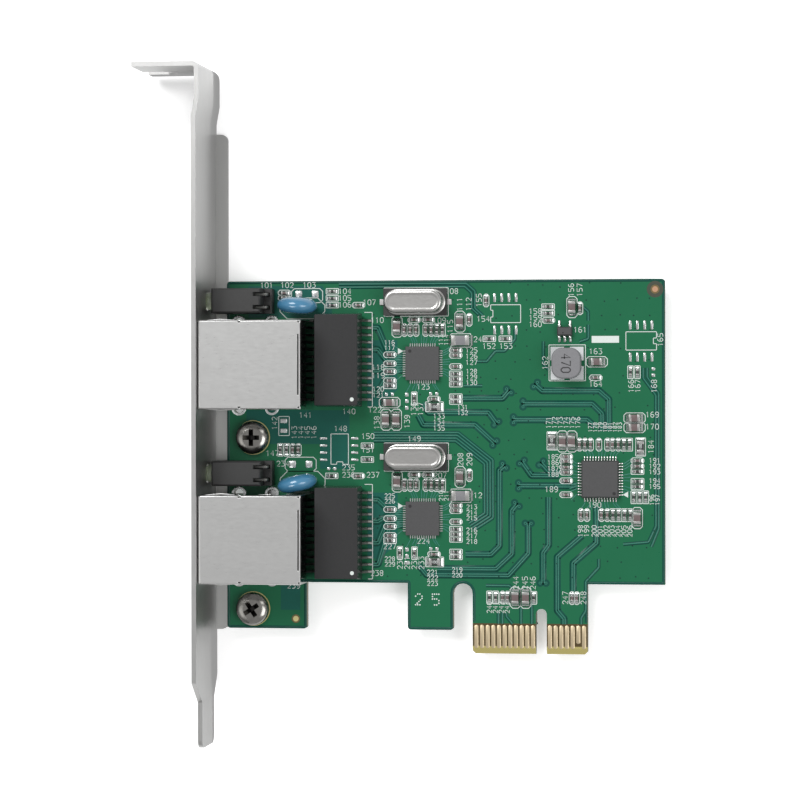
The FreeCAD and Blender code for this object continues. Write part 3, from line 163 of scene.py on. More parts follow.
# ---------------------------------------------------------------- finishes
@dataclass(frozen=True)
class Finish:
    """A material with a fine mottle in its colour and roughness and a fine bump.

    Attributes:
        name: What the material is and how it was made.
        colour: Its colour.
        shade: The colour that the mottle mixes in.
        roughness: Its mean roughness.
        metallic: 1 for a metal.
        grain_mm: The size of the mottle.
        bump: How deep the bump looks.
        bump_mm: The size of the bump's grain.
        stretch: How much shorter the grain is along each axis: a brushed or rolled surface.
        coat: The strength of a clear coat.
        specular: How much a plain surface mirrors.
        side_roughness: The roughness of the upright faces, where it differs.
    """

    name: str
    colour: str
    shade: str
    roughness: float
    metallic: float = 0.0
    grain_mm: float = 1.0
    bump: float = 0.05
    bump_mm: float = 0.2
    stretch: Size = (1.0, 1.0, 1.0)
    coat: float = 0.0
    specular: float = 0.5
    side_roughness: float | None = None

    def place(self, tree: Tree) -> Socket:
        """Object coordinates in millimetres, stretched along the grain."""
        where = add(tree, "ShaderNodeTexCoord", {}, {}).outputs["Object"]
        scale = [1000 * s for s in self.stretch]
        return add(tree, "ShaderNodeMapping", {}, {"Vector": where, "Scale": scale}).outputs[0]

    def paint(self, tree: Tree, place: Socket) -> Socket:
        """The colour over the surface."""
        grain = noise(tree, place, self.grain_mm, 4.0)
        return mixed(tree, "RGBA", grain, linear(self.colour), linear(self.shade))

    def material(self) -> bpy.types.Material:
        """Builds the material, or finds it if it's there.

        Returns:
            The material.
        """
        found = bpy.data.materials.get(self.name)
        if found:
            return found
        made = bpy.data.materials.new(self.name)
        made.use_nodes = True
        tree = made.node_tree
        shader = tree.nodes["Principled BSDF"]
        place = self.place(tree)
        height = noise(tree, place, self.bump_mm, 3.0)
        span = {"Value": height, "To Min": self.roughness * 0.8, "To Max": self.roughness * 1.2}
        rough = add(tree, "ShaderNodeMapRange", {}, span).outputs[0]
        if self.side_roughness is not None:
            rough = mixed(tree, "FLOAT", on_side(tree, 0.35), rough, self.side_roughness)
        depth = {"Height": height, "Strength": self.bump, "Distance": self.bump_mm * MM * 0.3}
        bump = add(tree, "ShaderNodeBump", {}, depth).outputs[0]
        feeds = {"Base Color": self.paint(tree, place), "Roughness": rough, "Normal": bump}
        for name, socket in feeds.items():
            tree.links.new(socket, shader.inputs[name])
        for name, value in self.plain_values().items():
            shader.inputs[name].default_value = value
        return made

    def plain_values(self) -> dict[str, float]:
        """The shader's inputs that are the same all over."""
        return {"Metallic": self.metallic, "Coat Weight": self.coat, "Specular IOR Level": self.specular}


@dataclass(frozen=True)
class ClearResin(Finish):
    """Cast clear epoxy: light passes through and bends."""

    transmission: float = 0.85
    ior: float = 1.53

    def plain_values(self) -> dict[str, float]:
        """Lets light through."""
        return Finish.plain_values(self) | {"Transmission Weight": self.transmission, "IOR": self.ior}


@dataclass(frozen=True)
class SolderMask(Finish):
    """Curtain-coated solder mask over copper, with bare laminate at the cut edges and the tongue.

    Attributes:
        bare: The laminate's colour.
        weave: The colour of its glass cloth.
        dark: Its colour between the contacts.
        between: How high the dark part starts, in millimetres.
        edge: The colour of the cut edges.
        tongue: The left, right and top of the part without mask, in millimetres.
    """

    bare: str = "#9a9058"
    weave: str = "#a89d66"
    dark: str = "#4c3f28"
    between: float = 1.35
    edge: str = "#6e6a4c"
    tongue: Size = (-12.6, 8.6, 5.35)

    def paint(self, tree: Tree, place: Socket) -> Socket:
        """Mask on both faces, bare glass epoxy on the cut edges and below the contacts."""
        left, right, top = self.tongue
        axes = add(tree, "ShaderNodeSeparateXYZ", {}, {"Vector": place}).outputs
        inside = maths(tree, "LESS_THAN", axes["Y"], top)
        for operation, limit in (("GREATER_THAN", left), ("LESS_THAN", right)):
            inside = maths(tree, "MULTIPLY", inside, maths(tree, operation, axes["X"], limit))
        bands = {"wave_type": "BANDS", "bands_direction": "DIAGONAL"}
        cloth = add(tree, "ShaderNodeTexWave", bands, {"Vector": place, "Scale": 1.4, "Distortion": 2.0})
        glass = mixed(tree, "RGBA", cloth.outputs["Fac"], linear(self.bare), linear(self.weave))
        above = maths(tree, "GREATER_THAN", axes["Y"], self.between)
        tongue = mixed(tree, "RGBA", above, glass, linear(self.dark))
        faces = mixed(tree, "RGBA", inside, Finish.paint(self, tree, place), tongue)
        return mixed(tree, "RGBA", on_side(tree, 0.3), faces, linear(self.edge))


class Finishes(Enum):
    """Every finish on the card."""

    # Glossy liquid solder mask over a copper pour: even green with a faint cloud of thickness.
    MASK = SolderMask("solder_mask_over_copper", "#175b3c", "#1c6143", 0.3, grain_mm=9.0, bump=0.04,
                      bump_mm=0.7, specular=0.2)
    # The same mask over bare laminate: no copper under it, so it looks darker and bluer.
    MASK_BARE = Finish("solder_mask_over_laminate", "#0d4238", "#11493e", 0.3, grain_mm=3.0, bump=0.03,
                       specular=0.2)
    # Mask over laminate with an inner copper layer showing through: between the two.
    MASK_THIN = Finish("solder_mask_over_inner_layer", "#134f45", "#17584c", 0.3, grain_mm=3.0, bump=0.03,
                       specular=0.2)
    # Mask that stands on a copper track: a lighter line.
    MASK_TRACK = Finish("solder_mask_over_track", "#2c6a5a", "#347363", 0.3, grain_mm=3.0, bump=0.03,
                        specular=0.25)
    # A tented via: the mask sinks into the hole.
    VIA = Finish("solder_mask_in_via", "#0a2f29", "#0e372f", 0.4, grain_mm=1.0, specular=0.2)
    # Screen-printed epoxy ink: matt, slightly uneven white.
    LEGEND = Finish("screen_printed_ink", "#cdd3d0", "#bcc5c0", 0.6, grain_mm=0.4, bump=0.1, bump_mm=0.12)
    # Electroplated hard gold over nickel: pale, satin.
    GOLD = Finish("hard_gold_plate", "#dccbab", "#d0bd9b", 0.36, metallic=1.0, grain_mm=0.5, bump=0.05)
    # Gold-plated phosphor bronze springs.
    SPRING_GOLD = Finish("gold_plated_bronze", "#d9b872", "#cfae68", 0.25, metallic=1.0)
    # Bare copper under a preservative.
    COPPER = Finish("preserved_copper", "#c9a183", "#b98f72", 0.4, metallic=1.0, grain_mm=0.3)
    # Bare laminate in the window round a registration mark.
    WINDOW = Finish("bare_laminate_window", "#2c3325", "#343a2b", 0.5, grain_mm=0.5)
    # Reflowed solder: bright, a little wavy.
    SOLDER = Finish("reflowed_solder", "#d3d5d4", "#bfc2c2", 0.26, metallic=1.0, grain_mm=0.3, bump=0.25,
                    bump_mm=0.25)
    # Tin-plated copper leads: bright.
    TIN = Finish("tinned_copper", "#d6d6d4", "#c4c4c3", 0.3, metallic=1.0, grain_mm=0.4, bump=0.1)
    # Barrel-plated tin on the chip parts' ends: matt.
    CHIP_TIN = Finish("barrel_plated_matt_tin", "#b4b4b2", "#a3a3a1", 0.36, metallic=1.0, grain_mm=0.3,
                      bump=0.15)
    # The same tinned leads painted darker: painted shade, for leads that sit in the shade under the
    # transformers and the lamp holders.
    DULL_TIN = Finish("tin_leads_painted_shade", "#858683", "#6f706d", 0.42, metallic=1.0, grain_mm=0.3, bump=0.15)
    # Sheet steel with bright nickel over it, faintly rolled along its length.
    BRACKET = Finish("nickel_plated_sheet_steel", "#bdbdbc", "#b2b2b1", 0.34, metallic=1.0, grain_mm=6.0,
                     bump=0.04, bump_mm=0.25, stretch=(1.0, 0.12, 1.0))
    # The bracket's rounded edges painted darker: painted shade, a dark line along every edge.
    SHEARED = Finish("bracket_edges_painted_shade", "#8b8b8c", "#5f5f60", 0.4, metallic=1.0, grain_mm=0.5, bump=0.2)
    # Tin-plated shield sheet, satin from rolling.
    SHIELD = Finish("tin_plated_shield_sheet", "#cfcfce", "#c9c9c8", 0.3, metallic=1.0, grain_mm=4.0,
                    bump=0.03, bump_mm=0.2, stretch=(0.2, 1.0, 1.0), side_roughness=0.08)
    # Nickel-plated steel screw, turned and rolled.
    SCREW = Finish("nickel_plated_screw_steel", "#9c9a96", "#7f7d79", 0.2, metallic=1.0, grain_mm=0.8,
                   bump=0.1)
    # The driver recess: the same steel painted dark, painted shade where the recess shades itself, with some
    # of the plating's residue.
    RECESS = Finish("driver_recess_painted_shade", "#3b3a39", "#2c2b2a", 0.45, metallic=1.0, grain_mm=0.4,
                    bump=0.2)
    # Tinned land round a screw hole, yellowed by flux.
    LAND = Finish("tinned_land_with_flux", "#d6cb92", "#c9bd82", 0.4, metallic=0.6, grain_mm=0.8, bump=0.1)
    # Drawn nickel-silver can: satin with fine drawing marks.
    CAN = Finish("drawn_nickel_silver", "#bbbab8", "#aaa9a7", 0.3, metallic=1.0, grain_mm=2.0, bump=0.06,
                 stretch=(0.25, 1.0, 1.0))
    # Glass-filled thermoplastic: black, fine sparkle from the mould.
    HOUSING = Finish("moulded_black_thermoplastic", "#242424", "#2b2b2b", 0.48, grain_mm=1.0, bump=0.12)
    # Epoxy moulding compound, eroded mould finish: dark grey and matt.
    MOULDING = Finish("epoxy_moulding_compound", "#242425", "#2a2a2b", 0.6, grain_mm=0.5, bump=0.2,
                      bump_mm=0.12, specular=0.3, side_roughness=0.16)
    # Laser-cleared epoxy of a small package: a little lighter.
    PACKAGE = Finish("matt_package_epoxy", "#3d3d3e", "#464647", 0.6, grain_mm=0.4, bump=0.2, bump_mm=0.1,
                     specular=0.4)
    # Dipped epoxy on a disc capacitor: glossy blue, thick at the middle.
    DISC = Finish("dipped_blue_epoxy", "#376d8f", "#457e9f", 0.2, grain_mm=3.0, bump=0.1, bump_mm=1.2,
                  coat=0.6)
    # Clear epoxy lens with a faint green tint.
    LENS = ClearResin("cast_clear_epoxy", "#dfe9d2", "#d6e2c6", 0.06, grain_mm=2.0, bump=0.0)
    # Fired capacitor ceramic: brown.
    CERAMIC = Finish("fired_capacitor_ceramic", "#584a4a", "#645555", 0.45, grain_mm=0.4, bump=0.1)
    # Overglaze on a thick-film resistor: black.
    GLAZE = Finish("thick_film_overglaze", "#2a2a2b", "#323233", 0.35, grain_mm=0.3)
    # Alumina at a resistor's edges.
    ALUMINA = Finish("alumina_substrate", "#b9b7b1", "#c6c4be", 0.5, grain_mm=0.3)
    # Pressed and tumbled ferrite: grey, slightly grainy.
    FERRITE = Finish("pressed_ferrite", "#77777a", "#6b6b6e", 0.5, grain_mm=0.5, bump=0.3, bump_mm=0.2)
    # Pale moulded or plated base of the power inductor.
    BASE = Finish("pale_moulded_base", "#c3c6c7", "#b6b9ba", 0.5, grain_mm=0.6)
    # Thin mask at the edge of its opening: brown over the laminate.
    BROWN = Finish("thin_mask_at_an_opening", "#6b5a30", "#5c4d2b", 0.4, grain_mm=0.4)
    # Black ink on the inductor.
    BLACK_INK = Finish("printed_black_ink", "#2c2c2e", "#343436", 0.6)

    @property
    def material(self) -> bpy.types.Material:
        """The built material."""
        return self.value.material()


# ---------------------------------------------------------------- mesh work
class MeshWork:
    """Collects faces and turns them into a mesh or a piece."""

    def __init__(self) -> None:
        """Starts with nothing."""
        self.verts: list[Vector] = []
        self.faces: list[list[int]] = []

    def block(self, low: Sequence[float], high: Sequence[float], inset: float = 0.0,
              drop: float = 0.0) -> None:
        """Adds a box whose top edge can be drawn in.

        Args:
            low: The lowest corner.
            high: The highest corner.
            inset: How far the top edge is drawn in on each side.
            drop: How far below the top the sides stay upright.
        """
        rings = [(low[2], 0.0), (high[2], 0.0)]
        if inset:
            rings = [(low[2], 0.0), (high[2] - drop, 0.0), (high[2], inset)]
        loops = []
        for z, gap in rings:
            x0, y0, x1, y1 = low[0] + gap, low[1] + gap, high[0] - gap, high[1] - gap
            loops.append([Vector((x0, y0, z)), Vector((x1, y0, z)), Vector((x1, y1, z)), Vector((x0, y1, z))])
        self.loft(loops)

    def loft(self, loops: Sequence[Sequence[Vector]], closed: bool = True) -> None:
        """Skins rings of equal length and, if closed, caps both ends."""
        start = len(self.verts)
        count = len(loops[0])
        for loop in loops:
            self.verts += [Vector(p) for p in loop]
        for row in range(len(loops) - 1):
            a = start + row * count
            for i in range(count):
                j = (i + 1) % count
                self.faces.append([a + i, a + j, a + count + j, a + count + i])
        if closed:
            self.faces.append([start + i for i in reversed(range(count))])
            last = start + (len(loops) - 1) * count
            self.faces.append([last + i for i in range(count)])

    def lathe(self, profile: Sequence[Point], centre: Vector, axis: Vector = UP, segments: int = 48,
              closed: bool = True) -> None:
        """Turns a profile of (radius, height) about an axis.

        Args:
            profile: Radius and height of each ring, from the bottom up.
            centre: Where height is 0.
            axis: The direction of height.
            segments: How many steps go round.
            closed: Whether both ends get a cap.
        """
        turn = axis.to_track_quat("Z", "X").to_matrix()
        angles = [2 * math.pi * i / segments for i in range(segments)]
        loops = [[centre + turn @ Vector((r * math.cos(a), r * math.sin(a), height)) for a in angles]
                 for r, height in profile]
        self.loft(loops, closed)

    def disc(self, radius: float, top: float, segments: int, centre: Vector | None = None, axis: Vector = UP,
             base: float = 0.0) -> "MeshWork":
        """Adds a flat round, measured in millimetres.

        Args:
            radius: Its radius.
            top: How high its top lies.
            segments: How many steps go round.
            centre: Where height is 0, in metres.
            axis: The direction of height.
            base: How high its underside lies.

        Returns:
            This work, so that a mesh can follow.
        """
        profile = [(radius * MM, base * MM), (radius * MM, top * MM)]
        self.lathe(profile, centre or Vector(), axis, segments)
        return self

    def mesh(self, name: str) -> bpy.types.Mesh:
        """The finished mesh with its faces pointing outwards."""
        data = bpy.data.meshes.new(name)
        data.from_pydata([tuple(v) for v in self.verts], [], self.faces)
        work = bmesh.new()
        work.from_mesh(data)
        bmesh.ops.remove_doubles(work, verts=work.verts, dist=1e-7)
        bmesh.ops.recalc_face_normals(work, faces=work.faces)
        work.to_mesh(data)
        work.free()
        return data

    def piece(self, name: str, finish: Finishes, slot: str, replaces: Iterable[str] = (),
              degrees: float = 0.0) -> bpy.types.Object:
        """Makes a finished piece, shaded smooth where faces meet at less than an angle."""
        mesh = self.mesh(name)
        if degrees:
            smooth(mesh, degrees)
        return finish_piece(place(name, mesh), finish, replaces)


def place(name: str, mesh: bpy.types.Mesh) -> bpy.types.Object:
    """Puts a mesh in the scene as an object."""
    made = bpy.data.objects.new(name, mesh)
    bpy.context.scene.collection.objects.link(made)
    return made


def smooth(mesh: bpy.types.Mesh, degrees: float = 35.0) -> None:
    """Shades a mesh smooth, with sharp edges where faces meet at more than an angle."""
    mesh.polygons.foreach_set("use_smooth", [True] * len(mesh.polygons))
    mesh.set_sharp_from_angle(angle=math.radians(degrees))


def bevel(mesh: bpy.types.Mesh, width: float, segments: int = 2, index: int = -1) -> None:
    """Rounds every edge sharper than 30 degrees.

    Args:
        mesh: The mesh to change.
        width: The width of the rounding.
        segments: How many faces make it.
        index: The material index of the new faces, or -1 for that of the faces beside them.
    """
    work = bmesh.new()
    work.from_mesh(mesh)
    limit = math.radians(30.0)
    edges = [e for e in work.edges if len(e.link_faces) == 2 and e.calc_face_angle(0) > limit]
    bmesh.ops.bevel(work, geom=edges, offset=width, segments=segments, profile=0.5, affect="EDGES",
                    clamp_overlap=True, material=index)
    work.to_mesh(mesh)
    work.free()


def evaluated(made: bpy.types.Object) -> bpy.types.Mesh:
    """An object's mesh as its modifiers leave it. The modifiers are removed."""
    bpy.context.view_layer.update()
    shown = made.evaluated_get(bpy.context.evaluated_depsgraph_get())
    mesh = bpy.data.meshes.new_from_object(shown)
    made.modifiers.clear()
    return mesh


def weighted(made: bpy.types.Object) -> bpy.types.Object:
    """Keeps large faces flat: corners take the direction of the larger face beside them."""
    modifier = made.modifiers.new("flat_faces", "WEIGHTED_NORMAL")
    modifier.keep_sharp = True
    modifier.weight = 80
    made.data = evaluated(made)
    return made


def finish_piece(made: bpy.types.Object, finish: Finishes,
                 replaces: Iterable[str] = ()) -> bpy.types.Object:
    """Gives a piece its finish and ties it to the card.

    Args:
        made: The piece.
        finish: Its finish.
        replaces: The solids that it stands for.

    Returns:
        The piece.
    """
    made.data.materials.clear()
    made.data.materials.append(finish.material)
    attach(made, "root")
    nodes = list(replaces)
    if nodes:
        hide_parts(*nodes)
    LOG.info("%s: %d faces", made.name, len(made.data.polygons))
    return made


def merged(node: str) -> bmesh.types.BMesh:
    """A solid's mesh with its corners joined."""
    work = bmesh.new()
    work.from_mesh(CARD["nodes"][node].data)
    bmesh.ops.remove_doubles(work, verts=work.verts, dist=1e-6)
    return work


def softened(node: str, name: str, finish: Finishes, slot: str, width: float, segments: int = 2,
             edge_shade: Finishes | None = None) -> bpy.types.Object:
    """A copy of a solid with its flat faces made whole and its edges rounded, which stands for it.

    Args:
        node: The solid's node.
        name: The piece's name.
        finish: Its finish.
        slot: The record's material slot; not used.
        width: The width of the rounding in millimetres.
        segments: How many faces make it.
        edge_shade: The finish of the rounded edges, where it differs: a darker one paints shade along them.

    Returns:
        The piece.
    """
    work = merged(node)
    bmesh.ops.dissolve_limit(work, angle_limit=math.radians(0.5), verts=work.verts, edges=work.edges,
                             use_dissolve_boundaries=False)
    mesh = bpy.data.meshes.new(node + "_copy")
    work.to_mesh(mesh)
    work.free()
    # Where a second finish is given, the bevel faces take it: painted shade along the edges.
    bevel(mesh, width * MM, segments, -1 if edge_shade is None else 1)
    smooth(mesh, 50.0)
    marks = [0] * len(mesh.polygons)
    mesh.polygons.foreach_get("material_index", marks)
    made = finish_piece(weighted(place(name, mesh)), finish, [node])
    if edge_shade is not None:
        made.data.materials.append(edge_shade.material)
        made.data.polygons.foreach_set("material_index", marks)
    return made


def islands(node: str) -> list[tuple[Vector, Vector]]:
    """The lowest and highest corner of each solid in a node."""
    work = merged(node)
    left = set(work.verts)
    boxes = []
    while left:
        stack = [left.pop()]
        group = []
        while stack:
            vert = stack.pop()
            group.append(vert.co.copy())
            for edge in vert.link_edges:
                other = edge.other_vert(vert)
                if other in left:
                    left.remove(other)
                    stack.append(other)
        corners = [Vector([pick(p[i] for p in group) for i in range(3)]) for pick in (min, max)]
        boxes.append((corners[0], corners[1]))
    work.free()
    return sorted(boxes, key=lambda b: (round(b[0].x, 5), round(b[0].y, 5)))


# ---------------------------------------------------------------- geometry nodes
class Trees:
    """The two node trees that make what repeats and what follows a line."""

    @staticmethod
    def begin(name: str, **inputs: str) -> tuple[Tree, dict[str, str], bpy.types.NodeOutputs]:
        """Starts a tree that takes geometry and more inputs.

        Args:
            name: The tree's name.
            inputs: The name and the type of each input after the geometry.

        Returns:
            The tree, each input's identifier by its name, and the sockets that bring the inputs in.
        """
        tree = bpy.data.node_groups.new(name, "GeometryNodeTree")
        sockets = tree.interface
        sockets.new_socket(name="Geometry", in_out="INPUT", socket_type="NodeSocketGeometry")
        names = {}
        for label, kind in inputs.items():
            made = sockets.new_socket(name=label, in_out="INPUT", socket_type="NodeSocket" + kind)
            names[label] = made.identifier
        sockets.new_socket(name="Geometry", in_out="OUTPUT", socket_type="NodeSocketGeometry")
        return tree, names, add(tree, "NodeGroupInput", {}, {}).outputs

    @staticmethod
    def end(tree: Tree, geometry: Socket, finish: Socket) -> None:
        """Ends a tree in real geometry with its material."""
        real = add(tree, "GeometryNodeRealizeInstances", {}, {"Geometry": geometry}).outputs[0]
        painted = add(tree, "GeometryNodeSetMaterial", {}, {"Geometry": real, "Material": finish}).outputs[0]
        add(tree, "NodeGroupOutput", {}, {0: painted})

    @staticmethod
    def copies() -> tuple[Tree, dict[str, str]]:
        """A tree that puts a copy of one piece on every point, turned and sized by the point's attributes."""
        tree, names, start = Trees.begin("copies_on_points", Piece="Object", Finish="Material")
        kind = {"data_type": "FLOAT_VECTOR"}
        turn, size = [
            add(tree, "GeometryNodeInputNamedAttribute", kind, {"Name": name}).outputs["Attribute"]
            for name in ("turn", "size")
        ]
        euler = add(tree, "FunctionNodeEulerToRotation", {}, {"Euler": turn}).outputs[0]
        piece = add(tree, "GeometryNodeObjectInfo", {}, {"Object": start["Piece"]}).outputs["Geometry"]
        inputs = {"Points": start[0], "Instance": piece, "Rotation": euler, "Scale": size}
        copies_made = add(tree, "GeometryNodeInstanceOnPoints", {}, inputs).outputs[0]
        Trees.end(tree, copies_made, start["Finish"])
        return tree, names

    @staticmethod
    def strokes() -> tuple[Tree, dict[str, str]]:
        """A tree that turns lines into flat strokes with rounded corners."""
        tree, names, start = Trees.begin(
            "strokes_on_board", Width="Float", Height="Float", Corner="Float", Finish="Material"
        )
        curve = add(tree, "GeometryNodeMeshToCurve", {}, {"Mesh": start[0]}).outputs[0]
        bends = {"Curve": curve, "Radius": start["Corner"], "Count": 4, "Limit Radius": True}
        curve = add(tree, "GeometryNodeFilletCurve", {"mode": "POLY"}, bends).outputs[0]
        curve = add(tree, "GeometryNodeSetCurveNormal", {"mode": "Z_UP"}, {"Curve": curve}).outputs[0]
        sides = {"Width": start["Width"], "Height": start["Height"]}
        section = add(tree, "GeometryNodeCurvePrimitiveQuadrilateral", {}, sides).outputs[0]
        sweep = {"Curve": curve, "Profile Curve": section, "Fill Caps": True}
        Trees.end(tree, add(tree, "GeometryNodeCurveToMesh", {}, sweep).outputs[0], start["Finish"])
        return tree, names


def baked(name: str, source: bpy.types.Mesh, kind: str, values: dict[str, Any]) -> bpy.types.Object:
    """Runs a node tree on a mesh and keeps the result as a plain mesh.

    Args:
        name: The new piece's name.
        source: The points or lines that the tree works on.
        kind: Which tree.
        values: Socket name to value.

    Returns:
        The new piece.
    """
    tree, names = TREES[kind]
    holder = place(name + "_source", source)
    modifier = holder.modifiers.new("nodes", "NODES")
    modifier.node_group = tree
    for label, value in values.items():
        modifier[names[label]] = value
    result = evaluated(holder)
    result.name = name
    bpy.data.objects.remove(holder)
    return place(name, result)


@dataclass
class Spot:
    """One place for a copy: where, its turn about Z and its scale."""

    where: Vector
    turn: float = 0.0
    size: Size = (1.0, 1.0, 1.0)


def copies(name: str, template: bpy.types.Mesh, spots: Sequence[Spot], finish: Finishes,
           replaces: Iterable[str] = (), degrees: float = 35.0) -> bpy.types.Object:
    """Puts a copy of a template on every spot.

    Args:
        name: The piece's name.
        template: The mesh to copy, round its own origin.
        spots: Where the copies go.
        finish: Their finish.
        replaces: The solids that they stand for.
        degrees: The angle that stays sharp.

    Returns:
        The piece.
    """
    source = bpy.data.meshes.new(name + "_points")
    source.from_pydata([tuple(s.where) for s in spots], [], [])
    turn = source.attributes.new("turn", "FLOAT_VECTOR", "POINT")
    size = source.attributes.new("size", "FLOAT_VECTOR", "POINT")
    for index, spot in enumerate(spots):
        turn.data[index].vector = (0.0, 0.0, spot.turn)
        size.data[index].vector = spot.size
    holder = place(name + "_template", template)
    made = baked(name, source, "copies", {"Piece": holder, "Finish": finish.material})
    bpy.data.objects.remove(holder)
    smooth(made.data, degrees)
    return finish_piece(made, finish, replaces)


@dataclass
class Lines:
    """Lines on the board that become strokes of one width.

    Attributes:
        name: The piece's name.
        finish: Its finish.
        slot: The record's material slot; not used.
        width: The stroke's width in millimetres.
        height: Its thickness in millimetres.
        corner: The radius of its bends in millimetres.
        base: How high the first stroke's middle lies, in millimetres.
        step: How much higher each next one lies, so that none shares a plane.
        paths: The lines' points, and whether each line is closed.
    """

    name: str
    finish: Finishes
    slot: str
    width: float
    height: float = 0.02
    corner: float = 0.0
    base: float = 0.0
    step: float = 0.0
    paths: list[tuple[list[Point], bool]] = field(default_factory=list)

    def path(self, points: Sequence[Point], closed: bool = False) -> None:
        """Adds one line through points in millimetres."""
        self.paths.append(([tuple(p) for p in points], closed))

    def frame(self, x: float, y: float, length: float, width: float, cut: float = 0.0) -> None:
        """Adds a closed outline round (x, y), with its corners cut off by a length."""
        a, b = length / 2, width / 2
        corners = [(-a, -b), (a, -b), (a, b), (-a, b)]
        if cut:
            corners = [
                (-a + cut, -b), (a - cut, -b), (a, -b + cut), (a, b - cut),
                (a - cut, b), (-a + cut, b), (-a, b - cut), (-a, -b + cut),
            ]
        self.path([(x + p, y + q) for p, q in corners], True)

    def build(self) -> bpy.types.Object:
        """Bakes the strokes.

        Returns:
            The piece.
        """
        verts: list[Vector] = []
        edges: list[tuple[int, int]] = []
        for index, (points, closed) in enumerate(self.paths):
            start = len(verts)
            verts += [mm(x, y, self.base + self.step * index) for x, y in points]
            edges += [(start + i, start + i + 1) for i in range(len(points) - 1)]
            if closed:
                edges.append((start + len(points) - 1, start))
        source = bpy.data.meshes.new(self.name + "_paths")
        source.from_pydata(verts, edges, [])
        sizes = {"Width": self.width * MM, "Height": self.height * MM, "Corner": self.corner * MM}
        made = baked(self.name, source, "strokes", sizes | {"Finish": self.finish.material})
        return finish_piece(made, self.finish)


# ---------------------------------------------------------------- plain numbers
class Digits:
    """Plain numbers drawn with straight strokes, as a board's legend has."""

    # Each digit's corners, in heights of a digit.
    STROKES: dict[str, tuple[float, ...]] = {
        "0": (0, 0.2, 0.2, 0, 0.4, 0, 0.6, 0.2, 0.6, 0.8, 0.4, 1, 0.2, 1, 0, 0.8, 0, 0.2),
        "1": (0.1, 0.8, 0.3, 1, 0.3, 0),
        "2": (0, 0.8, 0.2, 1, 0.4, 1, 0.6, 0.8, 0.6, 0.6, 0, 0, 0.6, 0),
        "3": (0, 1, 0.6, 1, 0.25, 0.6, 0.45, 0.6, 0.6, 0.4, 0.6, 0.2, 0.4, 0, 0, 0),
        "4": (0.45, 0, 0.45, 1, 0, 0.35, 0.6, 0.35),
        "5": (0.6, 1, 0, 1, 0, 0.55, 0.4, 0.55, 0.6, 0.4, 0.6, 0.15, 0.4, 0, 0, 0),
        "6": (0.5, 1, 0.2, 1, 0, 0.7, 0, 0.2, 0.2, 0, 0.4, 0, 0.6, 0.2, 0.6, 0.4, 0.4, 0.55, 0, 0.5),
        "7": (0, 1, 0.6, 1, 0.2, 0),
        "8": (0.2, 0.52, 0, 0.7, 0.15, 1, 0.45, 1, 0.6, 0.7, 0.4, 0.52, 0.2, 0.52, 0, 0.3, 0.15, 0, 0.45,
              0, 0.6, 0.3, 0.4, 0.52),
        "9": (0.1, 0, 0.4, 0, 0.6, 0.3, 0.6, 0.8, 0.4, 1, 0.2, 1, 0, 0.8, 0, 0.6, 0.2, 0.45, 0.6, 0.5),
    }

    @classmethod
    def write(cls, lines: Lines, text: str, x: float, y: float, height: float, upright: bool = False) -> None:
        """Writes a number centred on (x, y).

        Args:
            lines: The legend that takes the strokes.
            text: The digits.
            x: The middle, in millimetres.
            y: The middle, in millimetres.
            height: The height of a digit in millimetres.
            upright: Whether it reads along +Y.
        """
        pitch = 0.88 * height
        start = -(len(text) * pitch - 0.28 * height) / 2
        for index, letter in enumerate(text):
            corners = [(start + index * pitch + a * height, (b - 0.5) * height)
                       for a, b in route(cls.STROKES[letter])]
            lines.path([(x - v, y + u) if upright else (x + u, y + v) for u, v in corners])


def flat_middle(low: Vector, high: Vector) -> Point:
    """The middle of a box seen from above, in millimetres."""
    return (low.x + high.x) / 2 / MM, (low.y + high.y) / 2 / MM


# ---------------------------------------------------------------- the board
# Square chips: the solids, the pitch of the leads, and how far the leads reach, in millimetres.
CHIPS = (("upper_controller", 0.4, 3.5), ("lower_controller", 0.4, 3.5), ("bridge_chip", 0.5, 4.0))


